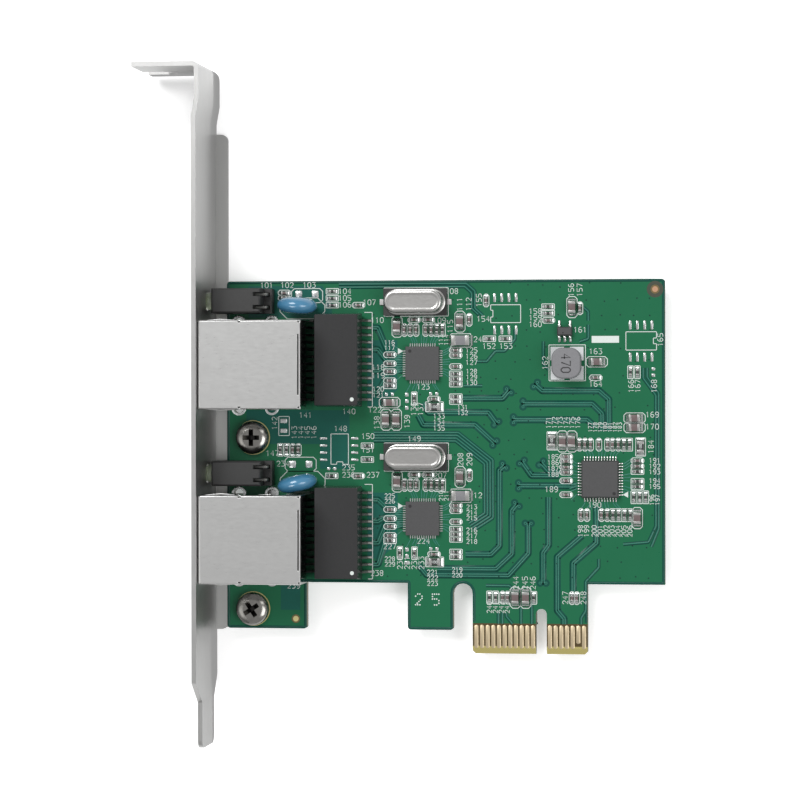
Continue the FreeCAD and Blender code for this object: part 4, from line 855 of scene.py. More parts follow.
@dataclass
class Board:
    """The laminate: mask, copper under it, vias, pads and legend.

    Attributes:
        margin: Copper-free strip along the outline, in millimetres.
        pair_width: Width of the channel round a pair of tracks.
        slim_width: Width of the channel round a single track.
        track: Width of a track.
        gap: Distance between the two tracks of a pair.
        via: Diameter of a via's land.
        via_hole: Radius of a via's hole.
        via_aside: How far a pair's vias stand from the pair's middle.
        stitch: Spacing of the ground vias.
        leg_aside: How far a jack's legs and pegs stand from its middle.
        numbers: The last number printed.
    """

    margin: float = 0.5
    pair_width: float = 1.25
    slim_width: float = 0.62
    track: float = 0.2
    gap: float = 0.38
    via: float = 0.5
    via_hole: float = 0.13
    via_aside: float = 0.52
    stitch: float = 2.7
    leg_aside: float = 7.625
    numbers: int = 100

    # Channels with a pair of tracks: whether each end has a pair of vias, and the route.
    PAIRS: Rows = (
        (0, 1, -13.9, 45, -6.8, 45, -5.7, 46.3),
        (0, 1, -21, 44.2, -20, 42.5, -9.3, 42.5, -7.9, 40.6),
        (0, 1, -21.8, 42, -20.9, 40.3, -11.7, 40.3, -8.2, 37.1),
        (1, 0, -1, 47.4, 0.2, 46.3, 10.2, 46.3, 11.9, 44.8, 11.9, 39.2),
        (1, 0, -3.2, 44, 9, 44, 10.7, 42.3, 10.7, 39.2),
        (1, 0, -4.9, 41.2, 8.1, 41.2, 9.6, 39.9),
        (1, 0, -6.5, 33.1, -7.4, 32.3, -7.4, 19, -8.9, 17.5, -13.4, 17.5),
        (1, 0, -4.3, 26.3, -5.2, 25.2, -5.2, 17.6, -8, 14.95, -18.4, 14.95),
        (1, 0, -2.3, 23, -2.3, 17.7, -5.8, 13.8, -20.3, 13.8, -21.8, 15.6),
        (1, 0, -3.4, 33.8, -1.7, 31.4, 3.2, 31.4),
        (1, 0, 0, 33.6, 1.2, 32.3, 3.2, 31.9),
        (1, 0, -4, 29.6, 6.2, 29.6),
        (0, 1, 1.3, 27.6, 1.3, 19.2, 0.3, 17.8, 0.3, 12.5),
        (0, 0, 7.2, 20.9, 2.8, 17.1, 2.8, 7.7, 4, 6.3, 4, 5.3),
        (0, 0, 9.7, 26, 9.7, 19.6, 5.6, 16, 5.6, 11.1),
    )
    # Single tracks in a narrow channel.
    SINGLES: Rows = (
        (-36, 64.7, -13.5, 64.7, -12.3, 63.6, -12.3, 60.9, -10.9, 59.6),
        (-36, 65.25, -13.2, 65.25, -11.7, 63.9, -11.7, 60.9, -10.3, 59.6),
        (-4.6, 57.1, -4.6, 55.4, -6.4, 53.3, -8.1, 53.3, -9.6, 51.5, -11.4, 51.5),
        (-13.7, 47.2, -10.4, 47.2),
        (17.9, 50.3, 17.9, 48.5, 20.1, 45.5, 20.1, 22.6, 18.8, 19.8, 14.4, 19.4),
        (18.6, 50.3, 18.6, 48.7, 20.6, 45.9, 20.6, 22.2, 19.3, 19),
        (10.1, 16.8, 10.1, 15.3, 7.8, 12.8, 7.8, 7.7, 7, 6.4, 7, 5.3),
        (-7.6, 7.3, -7.6, 5.3),
        (-6.9, 7.3, -6.9, 5.3),
        (-6.2, 7.2, -6.2, 6.6, -5.1, 5.3),
        (-3.6, 8.2, -3.6, 5.3),
        (-1.7, 9.2, -1.7, 5.3),
        (-9.8, 12, -5.6, 12, -5, 11.2),
        (0.4, 55, 0.4, 51, 1.3, 50),
        (8.3, 57.9, 8.3, 55.4, 6.8, 54.9),
        (8.3, 58.6, 8.3, 60.2, 7.5, 60.9),
    )
    # A group of parallel tracks: how many, the step between them, and the middle's route.
    BUS: tuple[float, ...] = (
        4, 0.5, -29.8, 38.2, -14.9, 38.2, -9.3, 33.8, -9.3, 24.3, -12.4, 22.3,
    )
    # Corners of the areas without a copper pour.
    AREAS: Rows = (
        (-52.7, 42.9, -52.7, 36.9, -39.4, 36.9, -39.4, 32.5, -34.1, 32.5, -34.1, 42.9),
        (-52.3, 65, -52.3, 59.4, -37.2, 59.4, -37.2, 62.6, -39, 65),
        (-46.5, 12, -46.5, 7.4, -43, 7.4, -43, 12),
        (-30.9, 55.3, -30.9, 43.6, -28.6, 43.6, -25.5, 46.5, -25.5, 55.3),
        (-30.9, 28.3, -30.9, 16.6, -28.6, 16.6, -25.5, 19.4, -25.5, 28.3),
    )
    # Pairs of tracks on the solder side, from via to via.
    BELOW: Rows = (
        (-5.7, 46.3, -4.9, 47.4, -1, 47.4),
        (-7.9, 40.6, -6.6, 42.9, -5.2, 44, -3.2, 44),
        (-8.2, 37.1, -6.6, 38.9, -6.6, 40.2, -4.9, 41.2),
        (-6.5, 33.1, -5.4, 35.4, -1.4, 35.4, 0, 33.6),
        (-4.3, 26.3, -4.9, 28.4, -4.9, 32.4, -3.4, 33.8),
        (-2.3, 23, -2.3, 27.8, -4, 29.6),
        (0.3, 12.5, 0.3, 10.6, -1.5, 8.8, -1.5, 5.3),
        (5.6, 11.1, 5.6, 9.2, 3.4, 7, 3.4, 5.3),
        (-13.2, 45, -20, 45, -24, 41, -31, 41),
        (-12.6, 17.6, -18, 17.6, -20.4, 15.2, -30.4, 15.2),
        (10.5, 33, 10.5, 44, 13, 46.5, 13, 58),
        (16.4, 31, 16.4, 22, 12, 17.6, 8.6, 17.6),
        (-16.5, 30, -16.5, 33.4, -19, 35.9, -30, 35.9),
    )
    # Tinned pads without a part: the length, the width and each one's middle.
    PADS: Rows = (
        (1.2, 1.25, -43.2, 63.5, -40.25, 63.5, -44.35, 33.3, -41.4, 33.3),
        (1.2, 0.8, -45.95, 41, -45.95, 39.25),
        (0.6, 0.7, -23.85, 45.65, -23.85, 44.5, -23.85, 43.3, -23.85, 18.25, -23.85, 17.1, -23.85, 15.9),
        (0.55, 0.6, -27.5, 45.7, -26.4, 45.7, -19.6, 45.8, -18.5, 45.8, -19.6, 18.4, -18.5, 18.4, -37.85,
         32.5, -36.75, 32.5),
        (0.6, 0.55, 19.7, 49, 19.7, 50.1),
    )
    # Registration marks: name, the middle, the radius, the top, the finish and the slot.
    MARKS = (
        ("mark_window", 20.0, 64.05, 1.45, 0.006, Finishes.WINDOW, "laminate"),
        ("mark_ring", 20.0, 64.05, 0.78, 0.009, Finishes.BROWN, "laminate"),
        ("mark_dot", 20.0, 64.05, 0.5, 0.03, Finishes.COPPER, "gold_plate"),
        ("lobe_mark_ring", -43.8, 5.84, 0.75, 0.009, Finishes.BROWN, "laminate"),
        ("lobe_mark_dot", -43.8, 5.84, 0.5, 0.03, Finishes.LAND, "gold_plate"),
    )
    # Outlines round the chip parts: the solids, the room beyond the ends and beside, and the cut corners.
    PART_FRAMES = (
        ("small_capacitors", 0.62, 0.24, 0.3),
        ("small_resistors", 0.62, 0.24, 0.0),
        ("large_capacitors", 0.86, 0.28, 0.42),
        ("marked_resistors", 0.6, 0.24, 0.0),
        ("ferrite_beads", 0.16, 0.3, 0.0),
    )
    # Outlines of the empty sites with a first-pin notch.
    NOTCHED: Rows = (
        (-8.9, 59.3, -8.9, 58.3, -3.6, 58.3, -3.6, 61.45, -8.9, 61.45, -8.9, 60.5, -8.5, 60.5, -8.5, 59.3),
        (14.9, 53.4, 20.25, 53.4, 20.25, 54.5, 19.7, 54.5, 19.7, 55.5, 20.25, 55.5, 20.25, 56.6, 14.9, 56.6),
        (-37.45, 33.3, -36.4, 33.3, -36.4, 33.75, -35.3, 33.75, -35.3, 33.3, -34.3, 33.3, -34.3, 38.7,
         -37.45, 38.7),
    )
    # Other outlines: the middle, the length, the width and the cut corners.
    FRAMES: Rows = (
        (4.6, 51.2, 6.4, 6.3), (-22.15, 62.03, 11.45, 5.0), (-22.15, 34.6, 11.45, 5.0),
        (-41.7, 63.25, 5.6, 2.5, 0.5), (-42.9, 33.3, 5.6, 2.5, 0.5), (-45.9, 40.1, 1.9, 3.4),
        (-42.55, 61.0, 8.1, 3.7, 1.3), (-42.55, 30.2, 8.1, 3.7, 1.3),
    )
    # Rows of numbers: the first one's place, the step to the next, how many, and whether upright.
    NUMBER_ROWS: Rows = (
        (-49, 65.15, 0, 0, 1, 0), (-45.3, 65.15, 4, 0, 2, 0), (-34.9, 64, 0, -1.2, 3, 0),
        (-30.5, 62, 0, 0, 1, 0), (-15.8, 63.9, 0, 0, 1, 0), (-18, 58.75, 0, 0, 1, 0),
        (-29.1, 58.85, 0, 0, 1, 0), (-14.4, 61.6, 1.6, 0, 2, 1), (-17.75, 55.3, 0.95, 0, 2, 1),
        (-16.1, 57.7, 0, 0, 1, 1), (-26.9, 54.9, 0, -0.95, 2, 0), (-28.95, 50.5, 0, -1.45, 2, 0),
        (-28.95, 46.65, 0, -1.05, 2, 0), (-29.55, 43, 0, 0, 1, 0), (-20.9, 47.05, 0, 0, 1, 0),
        (-11.6, 55.4, 0, 0, 1, 0), (-12.3, 53.5, 0, -1.08, 3, 0), (-12.3, 49.75, 0, -1, 3, 0),
        (-13.9, 43.4, 0, -0.95, 2, 0), (-18.1, 41.85, 0, -1.05, 3, 0), (-22.6, 43.1, 1.2, 0, 2, 1),
        (-29.2, 40.7, 0, 0, 1, 1), (-23.8, 40.9, 0, 0, 1, 1), (-34.2, 42.7, 0, 0, 1, 0),
        (-42, 42.05, 0, 0, 1, 0), (-47.6, 40.6, 0, 0, 1, 1), (-44.05, 38.95, 1.17, 0, 4, 1),
        (-48, 35.25, 0, 0, 1, 0), (-35.7, 39.65, 0, 0, 1, 0), (-22.5, 37.85, 0, 0, 1, 0),
        (-30.8, 38.3, 0, -2.4, 2, 0), (-9.2, 54.2, 3, 0, 2, 0), (-10.2, 59, 0, 0, 1, 0),
        (-11, 62.3, 0, 0, 1, 1), (5.3, 64, 1.5, 0, 2, 1), (-1, 60.3, 0, -1.15, 3, 0),
        (6.9, 57, 0, 0, 1, 0), (0.7, 51.2, 0, 0, 1, 1), (9.6, 53.2, 0, -5.7, 2, 0),
        (20.9, 55.2, 0, 0, 1, 1), (15.8, 47.1, 1.15, 0, 2, 1), (19.8, 47.1, 0, 0, 1, 1),
        (19.5, 42.1, 0, -2.1, 2, 0), (1.3, 40.7, 1.03, 0, 6, 1), (8.65, 39.9, 0.86, 0, 7, 1),
        (19.25, 36.5, 0, 0, 1, 1), (2.1, 34.7, 0, -1.02, 4, 0), (1.8, 29, 0, 0, 1, 0),
        (9.4, 26.3, 0, 0, 1, 0), (19.9, 34.1, 0, -1, 3, 0), (19.9, 30.55, 0, -1, 2, 0),
        (19.4, 27.2, 0.95, 0, 2, 1), (6.9, 21.7, 1.05, 0, 2, 1), (9.3, 21.7, 1.04, 0, 7, 1),
        (-17.9, 31.4, 0, 0, 1, 0), (-14.3, 34.2, 1.6, 0, 2, 1), (-17.75, 27.8, 0.95, 0, 2, 1),
        (-11.6, 27.9, 0, 0, 1, 0), (-12.3, 25.85, 0, -0.98, 3, 0), (-12.3, 21.75, 0, -1, 3, 0),
        (-14.9, 14.75, 0, -0.95, 2, 0), (-19.3, 14.3, 0, -1, 3, 0), (-20.9, 19.8, 0, 0, 1, 0),
        (-26.9, 27.75, 0, -0.95, 2, 0), (-26.9, 18.8, 0, 0, 1, 0), (-26.9, 16.6, 0, -0.95, 2, 0),
        (-25.1, 15.9, 1.28, 0, 4, 1), (-46.1, 33.4, 0, 0, 1, 0), (-34.3, 32.75, 0, -1.3, 2, 0),
        (-29.9, 31.45, 0, 0, 1, 0), (-29.2, 14.05, 0, 0, 1, 0), (-44.2, 11.7, 0, 0, 1, 0),
        (-9.2, 8.15, 1.05, 0, 4, 1), (-4.5, 12.5, 1.6, 0, 2, 1), (-1.5, 12.5, 0, 0, 1, 1),
        (4.2, 9.95, 3.2, 0, 2, 1),
    )

    def outline(self) -> list[Point]:
        """The copper-free strip's middle line, in millimetres."""
        low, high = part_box("pcb")
        inset = self.margin / 2
        x0, x1, y1 = low.x / MM + inset, high.x / MM - inset, high.y / MM - inset
        return [
            (8.15 - inset, 5.6), (8.15 - inset, 12.35 + inset), (x1, 12.35 + inset), (x1, y1), (x0, y1),
            (x0, 4.1 + inset), (-41.8 - inset, 4.1 + inset), (-41.8 - inset, 12.35 + inset),
            (-23.7 + inset, 12.35 + inset), (-23.7 + inset, 4.1 + inset), (-15.6 - inset, 4.1 + inset),
            *self.notch(inset), (-12.15 + inset, 5.6),
        ]

    @staticmethod
    def notch(inset: float) -> list[Point]:
        """Points round the half-round top of the retention notch."""
        reach = (15.6 - 12.15) / 2 + inset
        turns = [math.pi * index / 8 for index in range(9)]
        return [(-13.875 - reach * math.cos(t), 10.62 + reach * math.sin(t)) for t in turns]

    @staticmethod
    def offset(points: Sequence[Point], distance: float) -> list[Point]:
        """A line moved sideways by a distance, with its bends kept parallel."""
        moved = []
        for index, spot in enumerate(points):
            here = Vector(spot)
            before = here - Vector(points[index - 1]) if index else Vector(points[1]) - here
            after = Vector(points[index + 1]) - here if index + 1 < len(points) else before
            before, after = before.normalized(), after.normalized()
            side_a, side_b = Vector((-before.y, before.x)), Vector((-after.y, after.x))
            middle = (side_a + side_b).normalized()
            reach = distance / max(0.3, middle.dot(side_a))
            moved.append(tuple(here + middle * reach))
        return moved

    def layers(self, name: str, z: float, up: int) -> tuple[Lines, Lines, Lines]:
        """One face's strip along the outline, wide channels and tracks.

        Args:
            name: The start of their names.
            z: The face's height in millimetres.
            up: 1 for the component side, -1 for the solder side.

        Returns:
            The strip, the channels and the tracks.
        """
        bare, slot = Finishes.MASK_BARE, "laminate"
        edge = Lines(name + "_margin", bare, slot, self.margin, 0.006, 0.3, z + up * 0.001)
        wide = Lines(name + "_channels", bare, slot, self.pair_width, 0.01, 0.3, z + up * 0.002, up * 0.0003)
        thin = Lines(name + "_tracks", Finishes.MASK_TRACK, slot, self.track, 0.02, 0.3, z + up * 0.012,
                     up * 0.0001)
        edge.path(self.outline())
        return edge, wide, thin

    def pair(self, points: Sequence[Point], wide: Lines, thin: Lines) -> None:
        """Adds a channel with two tracks."""
        wide.path(points)
        for side in (-1, 1):
            thin.path(self.offset(points, side * self.gap / 2))

    def via_pair(self, end: Point, inner: Point, z: float) -> list[Spot]:
        """The two vias at the end of a pair of tracks."""
        along = (Vector(end) - Vector(inner)).normalized()
        aside = Vector((-along.y, along.x)) * self.via_aside
        return [Spot(mm(*(Vector(end) + aside * side), z)) for side in (-1, 1)]

    def copper(self) -> None:
        """Channels, tracks and vias."""
        edge, wide, thin = self.layers("board", 0.0, 1)
        slim = Lines("board_narrow_channels", Finishes.MASK_BARE, "laminate", self.slim_width, 0.01, 0.3,
                     0.0005, 0.0002)
        lands: list[Spot] = []
        for first, last, *numbers in self.PAIRS:
            points = route(numbers)
            self.pair(points, wide, thin)
            if first:
                lands += self.via_pair(points[0], points[1], 0.004)
            if last:
                lands += self.via_pair(points[-1], points[-2], 0.004)
        count, step, *numbers = self.BUS
        shifts = [((count - 1) / 2 - index) * step for index in range(count)]
        singles = [route(row) for row in self.SINGLES]
        singles += [self.offset(route(numbers), shift) for shift in shifts]
        for points in singles:
            slim.path(points)
            thin.path(points)
        self.fans(thin)
        self.port_pairs(wide, thin)
        self.bare_areas()
        for work in (edge, wide, slim, thin):
            work.build()
        ring = MeshWork().disc(0.66, 0.008, 24).mesh("via_channel")
        copies("via_channels", ring, lands, Finishes.MASK_BARE)
        land = MeshWork().disc(self.via / 2, 0.018, 20).mesh("via_land")
        copies("via_lands", land, lands, Finishes.MASK_TRACK)
        hole = MeshWork().disc(self.via_hole, 0.026, 12).mesh("via_hole")
        copies("via_holes", hole, lands + self.stitches(), Finishes.VIA)

    def bare_areas(self) -> None:
        """Areas with no copper pour, round the jacks and beside the controllers."""
        work = MeshWork()
        for numbers in self.AREAS:
            work.loft([[mm(x, y, z) for x, y in route(numbers)] for z in (-0.004, 0.0012)])
        work.piece("board_bare_areas", Finishes.MASK_THIN, "laminate")

    @staticmethod
    def fans(thin: Lines) -> None:
        """Short tracks that spread out from the chips' leads."""
        for node, pitch, half in CHIPS:
            x0, y0 = flat_middle(*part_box(node))
            for turn in range(4):
                cos, sin = (1, 0, -1, 0)[turn], (0, 1, 0, -1)[turn]
                for index in range(12):
                    if (index * 7 + turn * 3) % 4 == 0:
                        continue
                    along = (index - 5.5) * pitch
                    reach = 0.9 + 0.25 * ((index * 5 + turn) % 4)
                    points = [(half, along), (half + 0.25, along), (half + reach, along * 1.35)]
                    thin.path([(x0 + x * cos - y * sin, y0 + x * sin + y * cos) for x, y in points])

    def port_pairs(self, wide: Lines, thin: Lines) -> None:
        """The four pairs that run from each transformer to its controller."""
        for side in SIDES:
            _, middle = flat_middle(*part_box(side + "_transformer"))
            _, chip_y = flat_middle(*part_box(side + "_controller"))
            for index in range(4):
                far = middle + 1.27 * (4.5 - 3 * index)
                near = chip_y + 0.8 * (1.5 - index)
                bend = -27.6 + 0.5 * abs(1.5 - index)
                self.pair([(-30.0, far), (-29.0, far), (bend, near), (-24.6, near)], wide, thin)

    def stitches(self, z: float = 0.0) -> list[Spot]:
        """Ground vias on a loose grid over the copper pour, at a height in millimetres."""
        chance = random.Random(12)
        parts = ("_controller", "_transformer", "_jack_shield", "_crystal_base")
        room = 0.6
        taken = []
        for node in [*[side + part for side in SIDES for part in parts], "bridge_chip", "inductor_core"]:
            low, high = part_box(node)
            taken.append((low.x / MM - room, high.x / MM + room, low.y / MM - room, high.y / MM + room))
        spots = []
        y = 13.6
        while y < 65.0:
            x = -30.0 + chance.uniform(0, 1.0)
            while x < 21.0:
                u, v = x + chance.uniform(-0.5, 0.5), y + chance.uniform(-0.4, 0.4)
                free = not any(x0 < u < x1 and y0 < v < y1 for x0, x1, y0, y1 in taken)
                if free and chance.random() < 0.75:
                    spots.append(Spot(mm(u, v, z)))
                x += self.stitch
            y += self.stitch
        return spots

    def underside(self) -> None:
        """Copper on the solder side: the links between the vias, their lands, and the solder joints."""
        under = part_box("pcb")[0].z / MM
        edge, wide, thin = self.layers("under", under, -1)
        lands: list[Spot] = []
        for numbers in self.BELOW:
            points = route(numbers)
            self.pair(points, wide, thin)
            lands += self.via_pair(points[0], points[1], under) + self.via_pair(points[-1], points[-2], under)
        for work in (edge, wide, thin):
            work.build()
        land = MeshWork().disc(self.via / 2, 0.024, 20, axis=DOWN).mesh("under_land")
        copies("under_lands", land, lands, Finishes.MASK_TRACK)
        hole = MeshWork().disc(self.via_hole, 0.03, 12, axis=DOWN).mesh("under_hole")
        copies("under_holes", hole, lands + self.stitches(under), Finishes.VIA)
        joint = MeshWork()
        profile = (0.72, 0, 0.72, 0.04, 0.62, 0.08, 0.42, 0.28, 0.3, 0.62, 0.24, 0.95, 0.02, 1)
        joint.lathe([(r * MM, h * MM) for r, h in route(profile)], Vector(), DOWN, 24)
        copies("solder_joints", joint.mesh("solder_joint"), self.pins(under), Finishes.SOLDER,
               degrees=80.0)

    def pins(self, z: float) -> list[Spot]:
        """Where pins come through the solder side, with the size of each joint."""
        spots = []
        for side in SIDES:
            for node, inset in (("_jack_contacts", 0.15), ("_lamp_leads", 0.225)):
                for low, high in islands(side + node):
                    _, y = flat_middle(low, high)
                    spots.append(Spot(mm(high.x / MM - inset, y, z), 0.0, (0.82, 0.82, 1.0)))
            for low, high in islands(side + "_disc_capacitor_leads"):
                spots.append(Spot(mm(*flat_middle(low, high), z)))
            for x, y in self.legs(side)[::2]:
                spots.append(Spot(mm(x, y, z), 0.0, (1.7, 1.7, 1.0)))
        return spots

    def legs(self, side: str) -> list[Point]:
        """Where a shield's legs and a housing's pegs stand, by turns, in millimetres."""
        _, y = flat_middle(*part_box(side + "_jack_shield"))
        return [(x, y + sign * self.leg_aside) for sign in (-1, 1) for x in (-48.1, -54.08)]

    def bare_pads(self) -> None:
        """Tinned pads that carry no part, and the tinned rings round the plated holes, on both faces."""
        work = MeshWork()
        sites = []
        for step in (-1.905, -0.635, 0.635, 1.905):
            for side in (-1, 1):
                sites.append((0.45, 1.55, -6.3 + step, 59.85 + side * 2.85))
                sites.append((0.45, 1.55, 17.55 + step, 54.97 + side * 2.8))
                sites.append((1.3, 0.42, -36.0 + side * 2.8, 36.0 + step))
        for length, width, *middles in [*sites, *self.PADS]:
            for x, y in route(middles):
                low, high = mm(x - length / 2, y - width / 2), mm(x + length / 2, y + width / 2, 0.06)
                work.block(low, high, 0.07 * MM, 0.035 * MM)
        work.piece("bare_pads", Finishes.SOLDER, "tinned_lead", degrees=80.0)
        rings = MeshWork()
        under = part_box("pcb")[0].z / MM
        for x, y in [spot for side in SIDES for spot in self.legs(side)]:
            inner, outer = (0.85, 1.25) if x > -50.0 else (0.9, 1.3)
            profile = [(outer, 0.0), (outer, 0.03), (outer - 0.05, 0.05), (inner, 0.05), (inner, 0.0)]
            for z, axis in ((0.0, UP), (under, DOWN)):
                rings.lathe([(r * MM, h * MM) for r, h in profile], mm(x, y, z), axis, 32, False)
        rings.piece("plated_rings", Finishes.SOLDER, "tinned_lead", degrees=35.0)

    def marks(self) -> None:
        """The registration marks, bare copper in a window of the mask, and the lands under the screws."""
        for name, x, y, radius, top, finish, slot in self.MARKS:
            MeshWork().disc(radius, top, 40, mm(x, y)).piece(name, finish, slot)
        lands = MeshWork()
        for low, high in islands("bracket_screws"):
            lands.disc((high.x - low.x) / 2 / MM + 0.12, 0.03, 48, mm(*flat_middle(low, high)))
        lands.piece("screw_lands", Finishes.LAND, "gold_plate")

    def legend(self) -> None:
        """Printed outlines and plain numbers."""
        ink = Lines("legend_outlines", Finishes.LEGEND, "laminate", 0.14, 0.02, 0.12, 0.03)
        text = Lines("legend_numbers", Finishes.LEGEND, "laminate", 0.12, 0.02, 0.0, 0.031)
        self.frames(ink)
        for x, y, step_x, step_y, count, upright in self.NUMBER_ROWS:
            height = min(0.92, 0.78 * max(abs(step_x), abs(step_y)) or 0.92)
            for index in range(count):
                self.numbers += 1
                spot = x + step_x * index, y + step_y * index
                Digits.write(text, str(self.numbers), *spot, height, bool(upright))
        ink.build()
        text.build()
        solid = MeshWork()
        solid.block(mm(8.9, 54.7, 0.018), mm(13.7, 55.9, 0.034))
        for x, y, turn in ((-25.1, 53.35, 0), (-25.1, 25.95, 0), (14.95, 28.1, 180)):
            angles = [math.radians(angle + turn) for angle in (0, 120, 240)]
            solid.loft([[mm(x + 0.62 * math.cos(a), y + 0.62 * math.sin(a), z) for a in angles]
                        for z in (0.018, 0.053)])
        solid.piece("legend_solids", Finishes.LEGEND, "laminate")
        self.dotted_number()
        self.resistor_numbers()

    @staticmethod
    def dotted_number() -> None:
        """Two large digits made of dots on the retention lobe."""
        height = 1.9
        spots = []
        for letter, x in (("2", -22.3), ("5", -19.3)):
            points = route(Digits.STROKES[letter])
            for (a, b), (c, d) in zip(points, points[1:]):
                count = max(1, round(math.hypot(c - a, d - b) / 0.22))
                for t in [index / count for index in range(count)]:
                    u, v = a + (c - a) * t, b + (d - b) * t
                    spots.append(Spot(mm(x + u * height, 8.5 + v * height)))
        dot = MeshWork().disc(0.13, 0.03, 12).mesh("legend_dot")
        copies("legend_dots", dot, spots, Finishes.LEGEND)

    @staticmethod
    def resistor_numbers() -> None:
        """A plain number on each resistor that is large enough."""
        text = Lines("resistor_numbers", Finishes.LEGEND, "resistor_ceramic", 0.08, 0.012)
        for low, high in islands("marked_resistors"):
            text.base = high.z / MM + 0.004
            Digits.write(text, "100", *flat_middle(low, high), 0.42, high.y - low.y > high.x - low.x)
        text.build()

    def frames(self, ink: Lines) -> None:
        """Outlines round the chip parts, the larger parts and the empty sites."""
        for node, beyond, beside, cut in self.PART_FRAMES:
            for low, high in islands(node):
                length, width = (high.x - low.x) / MM, (high.y - low.y) / MM
                grow_x, grow_y = (beyond, beside) if length > width else (beside, beyond)
                ink.frame(*flat_middle(low, high), length + 2 * grow_x, width + 2 * grow_y, cut)
        for numbers in self.NOTCHED:
            ink.path(route(numbers), True)
        for numbers in self.FRAMES:
            ink.frame(*numbers)
        for y in (51.78, 21.3):
            ink.path([(-31.4, y + 8.45), (-30.0, y + 8.45), (-30.0, y - 8.3), (-30.8, y - 8.3)])

    def build(self) -> None:
        """Dresses the board."""
        CARD["nodes"]["pcb"].data.materials.clear()
        CARD["nodes"]["pcb"].data.materials.append(Finishes.MASK.material)
        self.copper()
        self.underside()
        self.bare_pads()
        self.marks()
        self.legend()


# ---------------------------------------------------------------- chip parts
@dataclass
class ChipParts:
    """The chip capacitors, resistors and beads: ceramic bodies, tinned ends and solder.

    Attributes:
        cap: How much of the length each tinned end covers.
        proud: How much thicker the ends are than the body, in millimetres.
        lift: How high the body stands over the board.
        fillet: How far the solder reaches beyond a small part's ends.
        large_fillet: The same for a large part.
    """

    cap: float = 0.24
    proud: float = 0.02
    lift: float = 0.03
    fillet: float = 0.46
    large_fillet: float = 0.56

    # The solids, the finish, the slot, and whether a glaze covers the top between the ends.
    KINDS = (
        ("small_capacitors", Finishes.CERAMIC, "capacitor_ceramic", False),
        ("large_capacitors", Finishes.CERAMIC, "capacitor_ceramic", False),
        ("small_resistors", Finishes.GLAZE, "resistor_ceramic", True),
        ("marked_resistors", Finishes.GLAZE, "resistor_ceramic", True),
        ("ferrite_beads", Finishes.FERRITE, "ferrite", False),
    )

    def build_kind(self, node: str, body: Finishes, slot: str, glaze: bool) -> None:
        """Builds one kind of chip part.

        Args:
            node: The solids' node.
            body: The body's finish.
            slot: The record's material slot; not used.
            glaze: Whether a glaze covers the top between the ends.
        """
        spots = []
        for low, high in islands(node):
            length, width, height = high - low
            spots.append(Spot(mm(*flat_middle(low, high)), math.pi / 2 if width > length else 0.0))
            length, width = max(length, width), min(length, width)
        lift, rise = self.lift * MM, self.proud * MM
        half, side = length / 2, width / 2
        inner = half - self.cap * length
        work = MeshWork()
        work.block((-half + rise, -side + rise, lift), (half - rise, side - rise, height - rise))
        core = work.mesh(node + "_core")
        bevel(core, 0.03 * MM)
        copies(node + "_bodies", core, spots, Finishes.ALUMINA if glaze else body, [node])
        if glaze:
            work = MeshWork()
            edge, top = side - 0.03 * MM, height - rise * 0.2
            work.block((-inner, -edge, height - rise), (inner, edge, top), 0.03 * MM, rise * 0.5)
            copies(node + "_glaze", work.mesh(node + "_glaze"), spots, body)
        work = MeshWork()
        for low, high in ((-half, -inner), (inner, half)):
            work.block((low, -side, lift * 0.5), (high, side, height))
        caps = work.mesh(node + "_caps")
        bevel(caps, 0.05 * MM, 3)
        copies(node + "_ends", caps, spots, Finishes.CHIP_TIN)
        work = MeshWork()
        reach = (self.fillet if length < 1.5 * MM else self.large_fillet) * MM
        steps = [(reach, 0.0), (reach, 0.012 * MM), (reach * 0.55, height * 0.12),
                 (reach * 0.25, height * 0.35), (0.0, height * 0.75)]
        foot = [(inner, 0.0)] + [(half + out, z) for out, z in steps] + [(inner, height * 0.4)]
        edge = side + 0.04 * MM
        for sign in (-1, 1):
            work.loft([[Vector((sign * x, y, z)) for x, z in foot] for y in (-edge, edge)])
        fillets = work.mesh(node + "_fillets")
        copies(node + "_solder", fillets, spots, Finishes.SOLDER, degrees=70.0)

    def build(self) -> None:
        """Builds every kind."""
        for kind in self.KINDS:
            self.build_kind(*kind)


